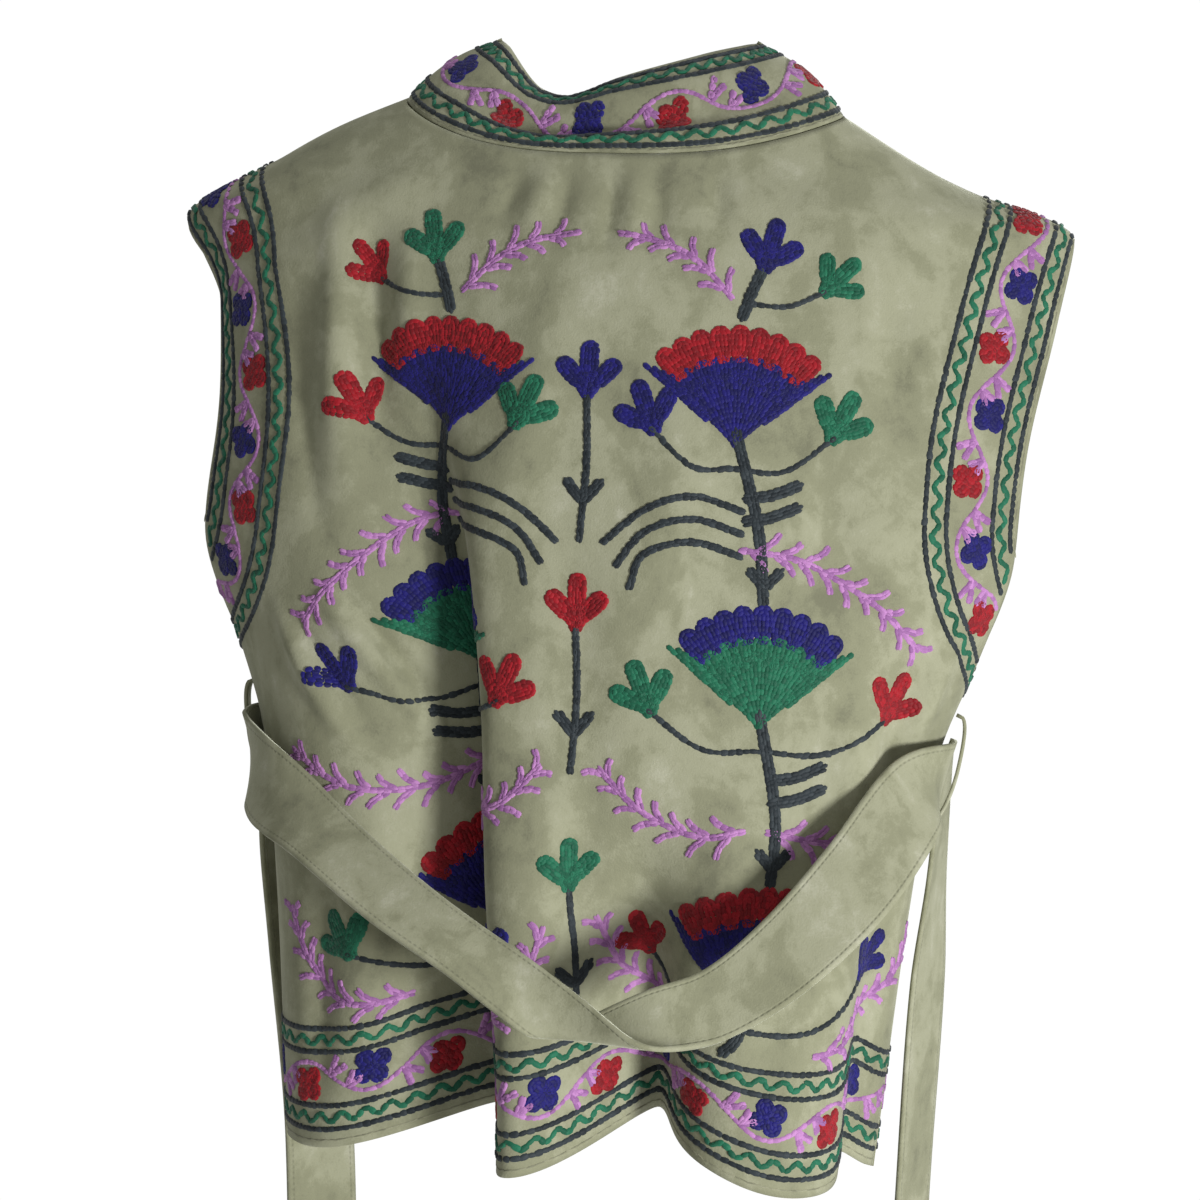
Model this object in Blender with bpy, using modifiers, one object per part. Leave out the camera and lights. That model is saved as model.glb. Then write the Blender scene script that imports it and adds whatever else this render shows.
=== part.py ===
# Embroidered velvet waistcoat: sleeveless, with drooping shoulders, a stand-up neck band that runs on
# down the front edges, and a tie belt held by a loop at each side seam. It is filled out as if worn,
# with the belt hanging free, and its cloth is walls round an empty hollow.
#
# Frame: metres, +Z up, -Y is the wearer's back and +X the wearer's right. The origin lies midway
# between the two points where the shoulder seams meet the neck band.
#
# Every panel is cut flat. A place on it is (across, height): across is measured along the cloth from
# the centre back or centre front line, height is the level at which that cloth hangs.

import math
from collections import namedtuple

import bmesh
import bpy
import numpy as np

WALL = 0.002
BELT_WALL = 0.0026
SEAM_GAP = 0.0005
BAND_SEAM_GAP = 0.0010
BACK = -1
FRONT = 1

NECK_DROP = 0.0385
NECK_FULLNESS = 2.7
NECK_SHARE_OF_TOP = 0.40
SHOULDER_TIP = -0.070
UNDERARM = -0.318
HEM = -0.600
ARMHOLE_HALF_OPENING = 0.034
ARMHOLE_LOW_SET = 0.8
ARMHOLE_ROUNDNESS = 0.7
BAND_WIDTH = 0.065
FRONT_EDGE = 0.075
VEE_FOOT = -0.200
VEE_HOLLOW = 1.1
RING_STEPS = 361

# Level sections of the filled-out body, from the neck down: half the width, how far the back and the
# front stand out, and the squareness of the curve (2 is an ellipse, less is a lens).
Ring = namedtuple("Ring", "height half_width back front squareness")
RINGS = [
    Ring(0.000, 0.1225, 0.046, 0.040, 2.00),
    Ring(-0.020, 0.1605, 0.052, 0.050, 1.95),
    Ring(-0.041, 0.2000, 0.060, 0.058, 1.90),
    Ring(-0.070, 0.2570, 0.072, 0.070, 1.80),
    Ring(-0.120, 0.2600, 0.088, 0.090, 1.65),
    Ring(-0.190, 0.2530, 0.100, 0.108, 1.70),
    Ring(-0.250, 0.2440, 0.104, 0.120, 1.80),
    Ring(-0.318, 0.2110, 0.104, 0.125, 2.10),
    Ring(-0.370, 0.1930, 0.101, 0.122, 2.30),
    Ring(-0.450, 0.1820, 0.100, 0.120, 2.30),
    Ring(-0.600, 0.1680, 0.100, 0.116, 2.30),
]

# Hanging folds: the panel, where the fold lies on the unfolded section at the hem and at its head,
# its width, how deep it sinks (less than zero: how far it stands out), how far its floor leans to +X,
# how far it draws the hem up, and the levels where it begins, is full and has gone again.
Fold = namedtuple("Fold", "side at_hem at_head width depth lean lift head full gone")
FAR_BELOW = -2.0
FOLDS = [
    Fold(BACK, -0.094, -0.110, 0.030, 0.057, 0.042, 0.034, -0.085, -0.440, FAR_BELOW),
    Fold(BACK, -0.058, -0.058, 0.032, 0.000, 0.018, 0.000, -0.400, -0.600, FAR_BELOW),
    Fold(BACK, 0.030, 0.034, 0.031, 0.046, 0.022, 0.032, -0.360, -0.590, FAR_BELOW),
    Fold(BACK, 0.112, 0.112, 0.045, -0.018, 0.000, 0.000, -0.330, -0.600, FAR_BELOW),
    Fold(BACK, -0.022, -0.018, 0.032, -0.014, 0.000, 0.004, -0.330, -0.600, FAR_BELOW),
    Fold(BACK, 0.070, 0.070, 0.034, 0.000, 0.000, 0.015, -0.480, -0.600, FAR_BELOW),
    Fold(BACK, 0.182, 0.186, 0.022, 0.014, 0.000, 0.014, -0.330, -0.590, FAR_BELOW),
    Fold(BACK, -0.285, -0.285, 0.050, 0.024, 0.000, 0.000, -0.070, -0.120, -0.270),
    Fold(BACK, -0.190, -0.190, 0.060, 0.000, 0.000, 0.009, 0.030, -0.005, -0.200),
    Fold(BACK, 0.190, 0.190, 0.060, 0.000, 0.000, -0.007, 0.030, -0.005, -0.200),
    Fold(FRONT, -0.150, -0.140, 0.024, 0.030, 0.010, 0.010, -0.240, -0.560, FAR_BELOW),
    Fold(FRONT, 0.135, 0.140, 0.022, 0.034, -0.012, 0.012, -0.260, -0.580, FAR_BELOW),
    Fold(FRONT, -0.290, -0.290, 0.050, 0.010, 0.000, 0.000, -0.070, -0.120, -0.270),
    Fold(FRONT, -0.190, -0.190, 0.060, 0.000, 0.000, 0.009, 0.030, -0.005, -0.200),
    Fold(FRONT, 0.190, 0.190, 0.060, 0.000, 0.000, -0.007, 0.030, -0.005, -0.200),
]

# The free edge of the neck band round the back, by the angle from the centre back to the shoulder:
# half its width across, how far back it stands, its height, and how deep the slumped crease is.
Stand = namedtuple("Stand", "angle across behind height crease")
STAND = [
    Stand(-90, -0.0745, 0.000, 0.0390, 0.000),
    Stand(-66, -0.0680, 0.012, 0.0330, 0.002),
    Stand(-38, -0.0440, 0.026, 0.0050, 0.007),
    Stand(-24, -0.0300, 0.030, 0.0010, 0.009),
    Stand(0, 0.0000, 0.033, 0.0110, 0.009),
    Stand(35, 0.0450, 0.026, 0.0260, 0.006),
    Stand(66, 0.0680, 0.012, 0.0350, 0.002),
    Stand(90, 0.0745, 0.000, 0.0390, 0.000),
]

# The belt's route from the end of the left tail, through the left loop, across the back, through the
# right loop and down the right tail: its middle, the way to the edge that is uppermost on the left,
# and its width. Half way round its lower edge it is folded under along a level line, so that from
# there on it lies behind and shows its other face.
Station = namedtuple("Station", "x y z edge_x edge_y edge_z width")
BELT_FOLD_HEIGHT = -0.505
LEFT_LOOP_STATION = 5
RIGHT_LOOP_STATION = 6
BELT_FOLD_RADIUS = 0.006
BEFORE_FOLD = [
    Station(-0.158, 0.060, -0.828, 0.62, 0.78, 0.00, 0.050),
    Station(-0.168, 0.055, -0.620, 0.62, 0.78, 0.00, 0.050),
    Station(-0.184, 0.046, -0.500, 0.50, 0.86, 0.00, 0.050),
    Station(-0.1975, 0.036, -0.428, 0.20, 0.97, 0.15, 0.046),
    Station(-0.1995, 0.021, -0.385, -0.20, 0.60, 0.76, 0.038),
    Station(-0.1985, 0.000, -0.371, -0.30, 0.05, 0.95, 0.033),
    Station(-0.1985, -0.022, -0.376, -0.25, -0.35, 0.90, 0.037),
    Station(-0.182, -0.066, -0.392, 0.30, -0.05, 0.95, 0.042),
    Station(-0.140, -0.104, -0.415, 0.45, 0.68, 0.58, 0.042),
    Station(-0.088, -0.134, -0.446, 0.36, 0.76, 0.53, 0.041),
    Station(-0.040, -0.150, -0.472, 0.30, 0.70, 0.64, 0.036),
    Station(0.014, -0.156, -0.505, 0.24, 0.10, 0.96, 0.034),
]
BEHIND_FOLD = [
    Station(0.054, -0.154, -0.501, 0.20, -0.20, -0.96, 0.034),
    Station(0.088, -0.148, -0.489, 0.42, -0.25, -0.87, 0.037),
    Station(0.121, -0.135, -0.464, 0.56, -0.30, -0.77, 0.043),
    Station(0.155, -0.108, -0.427, 0.62, -0.22, -0.75, 0.048),
    Station(0.184, -0.068, -0.385, 0.56, 0.10, -0.80, 0.046),
    Station(0.1995, -0.026, -0.373, -0.20, 0.30, -0.92, 0.037),
    Station(0.1985, 0.000, -0.371, -0.30, -0.05, -0.95, 0.033),
    Station(0.1995, 0.021, -0.387, -0.20, -0.65, -0.70, 0.038),
    Station(0.1985, 0.034, -0.432, -0.20, -0.97, -0.10, 0.046),
    Station(0.1960, 0.042, -0.500, -0.36, -0.93, 0.00, 0.050),
    Station(0.1930, 0.048, -0.620, -0.36, -0.93, 0.00, 0.050),
    Station(0.1900, 0.050, -0.828, -0.36, -0.93, 0.00, 0.050),
]
LOOP_TOP = -0.341
LOOP_FOOT = -0.403
LOOP_WIDTH = 0.008
LOOP_WALL = 0.002
LOOP_BOW = 0.0112
LOOP_SQUARENESS = 0.40

COLOURS = {
    "velvet": (0.25, 0.25, 0.155, 1.0),
    "band_velvet": (0.22, 0.22, 0.14, 1.0),
    "belt_velvet": (0.36, 0.37, 0.26, 1.0),
}


def eased(value):
    value = np.clip(value, 0.0, 1.0)
    return value * value * (3.0 - 2.0 * value)


def column(rows, key, name, at):
    """A table's column as a smooth curve without overshoot, read at the given places."""
    rows = sorted(rows, key=lambda row: getattr(row, key))
    places = np.array([getattr(row, key) for row in rows], float)
    values = np.array([getattr(row, name) for row in rows], float)
    step = np.diff(places)
    slope = np.diff(values) / step
    tangent = np.zeros(len(rows))
    same = slope[:-1] * slope[1:] > 0
    tangent[1:-1][same] = 2.0 * (slope[:-1] * slope[1:])[same] / (slope[:-1] + slope[1:])[same]
    tangent[0], tangent[-1] = slope[0], slope[-1]
    at = np.clip(np.asarray(at, float), places[0], places[-1])
    k = np.clip(np.searchsorted(places, at, side="right") - 1, 0, len(step) - 1)
    h = step[k]
    t = (at - places[k]) / h
    return (
        values[k] * (1 + 2 * t) * (1 - t) ** 2
        + tangent[k] * h * t * (1 - t) ** 2
        + values[k + 1] * t * t * (3 - 2 * t)
        - tangent[k + 1] * h * t * t * (1 - t)
    )


def ring(name, height):
    return column(RINGS, "height", name, height)


def folded_section(side, height):
    """One level section of the back or the front, folds and all: its points from the left side seam
    to the right one, and each point's distance along the cloth from the centre line."""
    angle = np.linspace(-math.pi / 2, math.pi / 2, RING_STEPS)
    power = 2.0 / ring("squareness", height)
    stand = ring("back" if side == BACK else "front", height)
    sideways = np.sign(np.sin(angle)) * np.abs(np.sin(angle)) ** power
    x = ring("half_width", height) * sideways
    y = side * (stand * np.abs(np.cos(angle)) ** power + SEAM_GAP / 2)
    run = np.hypot(np.diff(x), np.diff(y))
    place = np.concatenate([[0.0], np.cumsum(run)])
    place -= np.interp(0.0, x, place)
    along_x, along_y = np.gradient(x, place), np.gradient(y, place)
    out_x, out_y = -side * along_y, side * along_x
    z = np.full_like(x, height)
    for fold in FOLDS:
        if fold.side != side:
            continue
        grown = eased((fold.head - height) / (fold.head - fold.full))
        centre = fold.at_hem + (fold.at_head - fold.at_hem) * (1 - grown)
        grown = grown * eased((height - fold.gone) / (fold.full - fold.gone))
        shape = grown * np.exp(-(((place - centre) / fold.width) ** 2))
        x = x + shape * (fold.lean * along_x - fold.depth * out_x)
        y = y + shape * (fold.lean * along_y - fold.depth * out_y)
        z = z + shape * fold.lift
    run = np.sqrt(np.diff(x) ** 2 + np.diff(y) ** 2)
    length = np.concatenate([[0.0], np.cumsum(run)])
    length -= length[np.argmin(np.abs(place))]
    return length, np.stack([x, y, z], axis=1)


def on_cloth(side, across, height):
    """Where a place on the flat cut hangs."""
    length, points = folded_section(side, height)
    return np.array([np.interp(across, length, points[:, k]) for k in range(3)])


def seam_distance(side, height, end):
    """How far along the cloth the left (0) or right (-1) seam lies from the centre line."""
    return folded_section(side, height)[0][end]


def armhole_gap(height):
    """How far the armhole's edge is cut back from the seam line."""
    if height <= UNDERARM:
        return 0.0
    rise = (height - UNDERARM) / (SHOULDER_TIP - UNDERARM)
    return ARMHOLE_HALF_OPENING * math.sin(math.pi * min(rise, 1.0) ** ARMHOLE_LOW_SET) ** ARMHOLE_ROUNDNESS


def outer_edge(side, height, end):
    """The armhole's edge and below it the side seam, as a place on the flat cut."""
    across = seam_distance(side, height, end)
    return np.array([across - math.copysign(armhole_gap(height), across), height])


def shoulder_edge(side, part, end):
    """The shoulder seam from the neck (0) to its tip (1)."""
    height = SHOULDER_TIP * part
    return np.array([seam_distance(side, height, end), height])


def neck_edge(part):
    """The back neck curve from the left shoulder (-1) to the right one (1)."""
    reach = seam_distance(BACK, 0.0, -1)
    height = -NECK_DROP * (1 - abs(part) ** NECK_FULLNESS)
    return np.array([reach * part, height])


def front_edge(height):
    """Where a front panel ends and its band begins, as a distance from the centre front."""
    neck = seam_distance(FRONT, 0.0, -1)
    return FRONT_EDGE + (neck - FRONT_EDGE) * (1 - eased(height / VEE_FOOT)) ** VEE_HOLLOW


def back_top(part):
    """The top of the back from the left shoulder's tip to the right one's."""
    place = 2 * part - 1
    if abs(place) <= NECK_SHARE_OF_TOP:
        return neck_edge(place / NECK_SHARE_OF_TOP)
    end = 0 if place < 0 else -1
    return shoulder_edge(BACK, (abs(place) - NECK_SHARE_OF_TOP) / (1 - NECK_SHARE_OF_TOP), end)


def height_down(part, top=SHOULDER_TIP):
    return top + (HEM - top) * part


def patch(top, left, right, s, t):
    """A place inside a flat cut whose left, right and top edges are curves and whose hem is level."""
    hem_left, hem_right = left(1.0), right(1.0)
    sides = (1 - s) * left(t) + s * right(t)
    ends = (1 - t) * top(s) + t * ((1 - s) * hem_left + s * hem_right)
    corners = (1 - t) * ((1 - s) * top(0.0) + s * top(1.0)) + t * ((1 - s) * hem_left + s * hem_right)
    return sides + ends - corners


def gathered(places, crowded, width, share):
    """Spreads rows or columns unevenly, more of them round the crowded places."""
    fine = np.linspace(0.0, 1.0, 201)
    density = 1.0 + share * sum(np.exp(-(((fine - c) / width) ** 2)) for c in crowded)
    reach = np.concatenate([[0.0], np.cumsum((density[1:] + density[:-1]) / 2)])
    return np.interp(places, reach / reach[-1], fine)


def velvet(name):
    material = bpy.data.materials.get(name) or bpy.data.materials.new(name)
    material.use_nodes = True
    shader = material.node_tree.nodes["Principled BSDF"]
    shader.inputs["Base Color"].default_value = COLOURS[name]
    shader.inputs["Roughness"].default_value = 0.9
    shader.inputs["Metallic"].default_value = 0.0
    return material


def cloth(name, columns, rows, place, wall, offset, finish, collection, flip=False):
    """A grid laid through place(s, t), from the left (0) to the right and the top (0) to the foot, and
    given its wall: outwards from the grid with offset 1, inwards with -1."""
    shape = bmesh.new()
    bmesh.ops.create_grid(shape, x_segments=columns, y_segments=rows, size=0.5)
    for vertex in shape.verts:
        vertex.co = place(vertex.co.x + 0.5, 0.5 - vertex.co.y)
    if flip:
        bmesh.ops.reverse_faces(shape, faces=shape.faces)
    mesh = bpy.data.meshes.new(name)
    shape.to_mesh(mesh)
    shape.free()
    mesh.materials.append(velvet(finish))
    piece = bpy.data.objects.new(name, mesh)
    collection.objects.link(piece)
    thick = piece.modifiers.new("Wall", "SOLIDIFY")
    thick.thickness = wall
    thick.offset = offset
    mesh.shade_smooth()
    mesh.set_sharp_from_angle(angle=math.radians(60))
    return piece


def back_panel(collection):
    columns, rows = 40, 22
    fold_places = (0.29, 0.35, 0.62)

    def place(s, t):
        across = float(gathered(s, fold_places, 0.045, 2.0))
        flat = patch(
            back_top,
            lambda part: outer_edge(BACK, height_down(part), 0),
            lambda part: outer_edge(BACK, height_down(part), -1),
            across,
            t,
        )
        return on_cloth(BACK, *flat)

    return cloth("back_panel", columns, rows, place, WALL, 1.0, "velvet", collection)


def front_panel(name, hand, collection):
    """hand is 1 for the wearer's right front and -1 for the left."""
    columns, rows = 15, 20
    end = -1 if hand > 0 else 0

    def inner(part):
        height = HEM * part
        return np.array([hand * front_edge(height), height])

    def outer(part):
        return outer_edge(FRONT, height_down(part), end)

    def top(part):
        return shoulder_edge(FRONT, part, end)

    def place(s, t):
        return on_cloth(FRONT, *patch(top, inner, outer, s, t))

    return cloth(name, columns, rows, place, WALL, 1.0, "velvet", collection, flip=hand > 0)


def moved_out(side, across, height):
    """A place on the cloth's outer face, and the way out there."""
    step = 0.0015
    here = on_cloth(side, across, height)
    beside = on_cloth(side, across + step, height) - on_cloth(side, across - step, height)
    below = on_cloth(side, across, height - step) - on_cloth(side, across, height + step)
    out = np.cross(beside, below) * -side
    out /= np.linalg.norm(out)
    if out[1] * side < 0:
        out = -out
    return here + out * WALL, out


def stand(name, angle):
    return float(column(STAND, "angle", name, angle))


def collar(collection):
    columns, rows = 26, 6
    bulge = 0.006
    crease_at, crease_width, crease_drop = 0.44, 0.17, 0.8
    last_of_seam = 0.999

    def place(s, t):
        part = 2 * s - 1
        angle = 90 * part
        seam, out = moved_out(BACK, *neck_edge(part * last_of_seam))
        edge = np.array([stand("across", angle), -stand("behind", angle), stand("height", angle)])
        up = edge - seam
        up /= np.linalg.norm(up)
        seam = seam + up * BAND_SEAM_GAP
        rise = 1 - t
        crease = stand("crease", angle) * math.exp(-(((rise - crease_at) / crease_width) ** 2))
        away = out - up * out.dot(up)
        away /= np.linalg.norm(away)
        point = seam + (edge - seam) * rise + away * (bulge * math.sin(math.pi * rise) - crease)
        point = point - up * crease_drop * crease
        point[1] -= BAND_SEAM_GAP * (abs(part) > last_of_seam)
        return point

    return cloth("collar", columns, rows, place, WALL, -1.0, "band_velvet", collection)


def front_band(name, hand, collection):
    columns, rows = 3, 20
    settled = -0.115
    bulge = 0.005
    step = 0.002
    inset = 0.0001
    start = np.array([hand * stand("across", 90), SEAM_GAP, stand("height", 90)])

    def place(s, t):
        height = HEM * t
        across = front_edge(height)
        slope = (front_edge(height - step) - front_edge(height + step)) / (2 * step)
        slant = math.atan(max(-slope, 0.0))
        seam, out = moved_out(FRONT, hand * (across - inset), height - inset)
        high = min(height + BAND_WIDTH * math.sin(slant) * (1 - t), -inset)
        flat_edge, _ = moved_out(FRONT, hand * (across - BAND_WIDTH * math.cos(slant)), high)
        lying = float(eased(height / settled))
        edge = start + (flat_edge - start) * lying
        over = edge - seam
        over /= np.linalg.norm(over)
        seam = seam + over * (SEAM_GAP + (BAND_SEAM_GAP - SEAM_GAP) * (1 - lying))
        away = out - over * out.dot(over)
        away /= np.linalg.norm(away)
        point = seam + (edge - seam) * s
        point = point + away * bulge * math.sin(math.pi * s) * (1 - lying)
        point[1] += BAND_SEAM_GAP * (1 - lying)
        return point

    return cloth(name, columns, rows, place, WALL, -1.0, "band_velvet", collection, flip=hand < 0)


def opened_out(height):
    """A height behind the belt's fold, as it lies with the fold opened out below, or back again."""
    return 2 * BELT_FOLD_HEIGHT - math.pi * BELT_FOLD_RADIUS - height


def belt_route():
    """The stations with the part behind the fold opened out below it, and each one's distance."""
    rows = [list(station) for station in BEFORE_FOLD]
    for station in BEHIND_FOLD:
        opened = station._replace(
            y=station.y - 2 * BELT_FOLD_RADIUS,
            z=opened_out(station.z),
            edge_z=-station.edge_z,
        )
        rows.append(list(opened))
    rows = np.array(rows)
    steps = np.linalg.norm(np.diff(rows[:, :3], axis=0), axis=1)
    return rows, np.concatenate([[0.0], np.cumsum(steps)])


def along_route(rows, distance, at):
    """A smooth curve through the rows, read at one distance."""
    k = int(np.clip(np.searchsorted(distance, at, side="right") - 1, 0, len(rows) - 2))
    before, after = max(k - 1, 0), min(k + 2, len(rows) - 1)
    span = distance[k + 1] - distance[k]
    t = (at - distance[k]) / span
    start = (rows[k + 1] - rows[before]) / (distance[k + 1] - distance[before]) * span
    end = (rows[after] - rows[k]) / (distance[after] - distance[k]) * span
    return (
        rows[k] * (1 + 2 * t) * (1 - t) ** 2
        + start * t * (1 - t) ** 2
        + rows[k + 1] * t * t * (3 - 2 * t)
        - end * t * t * (1 - t)
    )


def folded_under(point):
    """Turns what lies below the fold line round a small curve and up behind it."""
    below = BELT_FOLD_HEIGHT - point[2]
    if below <= 0:
        return point
    turn = min(below / BELT_FOLD_RADIUS, math.pi)
    rise = max(below - math.pi * BELT_FOLD_RADIUS, 0.0)
    height = BELT_FOLD_HEIGHT - BELT_FOLD_RADIUS * math.sin(turn) + rise
    return np.array([point[0], point[1] + BELT_FOLD_RADIUS * (1 - math.cos(turn)), height])


def belt(collection):
    columns, rows = 60, 6
    route, distance = belt_route()
    left_loop = distance[LEFT_LOOP_STATION]
    right_loop = distance[len(BEFORE_FOLD) + RIGHT_LOOP_STATION]
    behind = np.array([0.0, 2 * BELT_FOLD_RADIUS, 0.0])

    def place(s, t):
        at = distance[-1] * float(gathered(s, (0.5,), 0.06, 1.6))
        x, y, z, edge_x, edge_y, edge_z, width = along_route(route, distance, at)
        edge = np.array([edge_x, edge_y, edge_z])
        edge /= np.linalg.norm(edge)
        point = np.array([x, y, z]) + edge * width * (0.5 - t)
        if at < left_loop:
            return point
        if at < right_loop:
            return folded_under(point)
        point[2] = opened_out(point[2])
        return point + behind

    return cloth("belt", columns, rows, place, BELT_WALL, 0.0, "belt_velvet", collection)


def belt_loop(name, hand, collection):
    columns, rows = 1, 11
    clear = WALL + SEAM_GAP + LOOP_WALL / 2

    def place(s, t):
        height = LOOP_TOP + (LOOP_FOOT - LOOP_TOP) * t
        bow = LOOP_BOW * math.sin(math.pi * t) ** LOOP_SQUARENESS
        across = ring("half_width", height) + clear + bow
        return (hand * across, LOOP_WIDTH * (s - 0.5), height)

    return cloth(name, columns, rows, place, LOOP_WALL, 0.0, "belt_velvet", collection)


def main():
    for item in list(bpy.data.objects):
        bpy.data.objects.remove(item, do_unlink=True)
    collection = bpy.data.collections.new("embroidered_waistcoat")
    bpy.context.scene.collection.children.link(collection)
    back_panel(collection)
    front_panel("front_left", -1, collection)
    front_panel("front_right", 1, collection)
    collar(collection)
    front_band("front_band_left", -1, collection)
    front_band("front_band_right", 1, collection)
    belt(collection)
    belt_loop("belt_loop_left", -1, collection)
    belt_loop("belt_loop_right", 1, collection)


main()
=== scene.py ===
# Embroidered velvet waistcoat, seen from the back. Metres, +Z up, -Y is the wearer's back and +X the
# wearer's right. A place on a panel's flat cut is (across, height): across is measured along the cloth
# from the centre line, height is the level at which that cloth hangs. Bands and belt use (along, up).

import math
from collections import namedtuple

import bmesh
import bpy
import numpy as np
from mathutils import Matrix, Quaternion, Vector


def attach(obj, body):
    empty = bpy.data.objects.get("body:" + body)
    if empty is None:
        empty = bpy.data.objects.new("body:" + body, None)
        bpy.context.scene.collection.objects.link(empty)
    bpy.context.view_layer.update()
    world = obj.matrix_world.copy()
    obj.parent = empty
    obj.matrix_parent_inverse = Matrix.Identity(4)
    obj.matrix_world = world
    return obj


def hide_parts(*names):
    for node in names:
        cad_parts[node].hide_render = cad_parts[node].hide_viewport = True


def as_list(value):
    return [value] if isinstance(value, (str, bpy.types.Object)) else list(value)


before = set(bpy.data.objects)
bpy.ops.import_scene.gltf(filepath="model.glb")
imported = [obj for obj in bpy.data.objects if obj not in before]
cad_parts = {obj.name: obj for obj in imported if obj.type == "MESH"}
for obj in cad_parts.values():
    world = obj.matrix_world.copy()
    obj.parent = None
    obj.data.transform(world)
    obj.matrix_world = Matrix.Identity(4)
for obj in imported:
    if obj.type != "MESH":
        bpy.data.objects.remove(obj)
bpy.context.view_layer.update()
print("stage: frame loaded")

back, front = -1, 1
garment = {
    "wall": 0.002,
    "seamGap": 0.0005,
    "bandSeamGap": 0.0010,
    "neckDrop": 0.0385,
    "neckFullness": 2.7,
    "neckShareOfTop": 0.40,
    "shoulderTip": -0.070,
    "underarm": -0.318,
    "hem": -0.600,
    "armholeHalfOpening": 0.034,
    "armholeLowSet": 0.8,
    "armholeRoundness": 0.7,
    "bandWidth": 0.065,
    "frontEdge": 0.075,
    "veeFoot": -0.200,
    "veeHollow": 1.1,
    "ringSteps": 541,
    "tableStep": 0.0016,
}
chance = np.random.default_rng(11)

# Level sections of the filled-out body: half the width, how far the back and the front stand out, and
# the squareness of the curve (2 is an ellipse, less is a lens).
Ring = namedtuple("Ring", "height halfWidth back front squareness")
rings = [
    Ring(0.000, 0.1225, 0.046, 0.040, 2.00),
    Ring(-0.020, 0.1605, 0.052, 0.050, 1.95),
    Ring(-0.041, 0.2000, 0.060, 0.058, 1.90),
    Ring(-0.070, 0.2570, 0.072, 0.070, 1.80),
    Ring(-0.120, 0.2600, 0.088, 0.090, 1.65),
    Ring(-0.190, 0.2530, 0.100, 0.108, 1.70),
    Ring(-0.250, 0.2440, 0.104, 0.120, 1.80),
    Ring(-0.318, 0.2110, 0.104, 0.125, 2.10),
    Ring(-0.370, 0.1930, 0.101, 0.122, 2.30),
    Ring(-0.450, 0.1820, 0.100, 0.120, 2.30),
    Ring(-0.600, 0.1680, 0.100, 0.116, 2.30),
]

# Hanging folds: where each lies at the hem and at its head, its width, how deep it sinks, how far its
# floor leans to +X, how far it draws the hem up, and where it begins, is full and has gone again.
Fold = namedtuple("Fold", "side atHem atHead width depth lean lift head full gone")
farBelow = -2.0
folds = [
    Fold(back, -0.094, -0.110, 0.030, 0.057, 0.042, 0.034, -0.085, -0.440, farBelow),
    Fold(back, -0.058, -0.058, 0.032, 0.000, 0.018, 0.000, -0.400, -0.600, farBelow),
    Fold(back, 0.030, 0.034, 0.031, 0.046, 0.022, 0.032, -0.360, -0.590, farBelow),
    Fold(back, 0.112, 0.112, 0.045, -0.018, 0.000, 0.000, -0.330, -0.600, farBelow),
    Fold(back, -0.022, -0.018, 0.032, -0.014, 0.000, 0.004, -0.330, -0.600, farBelow),
    Fold(back, 0.070, 0.070, 0.034, 0.000, 0.000, 0.015, -0.480, -0.600, farBelow),
    Fold(back, 0.182, 0.186, 0.022, 0.014, 0.000, 0.014, -0.330, -0.590, farBelow),
    Fold(back, -0.285, -0.285, 0.050, 0.024, 0.000, 0.000, -0.070, -0.120, -0.270),
    Fold(back, -0.190, -0.190, 0.060, 0.000, 0.000, 0.009, 0.030, -0.005, -0.200),
    Fold(back, 0.190, 0.190, 0.060, 0.000, 0.000, -0.007, 0.030, -0.005, -0.200),
    Fold(front, -0.150, -0.140, 0.024, 0.030, 0.010, 0.010, -0.240, -0.560, farBelow),
    Fold(front, 0.135, 0.140, 0.022, 0.034, -0.012, 0.012, -0.260, -0.580, farBelow),
    Fold(front, -0.290, -0.290, 0.050, 0.010, 0.000, 0.000, -0.070, -0.120, -0.270),
    Fold(front, -0.190, -0.190, 0.060, 0.000, 0.000, 0.009, 0.030, -0.005, -0.200),
    Fold(front, 0.190, 0.190, 0.060, 0.000, 0.000, -0.007, 0.030, -0.005, -0.200),
]

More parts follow.
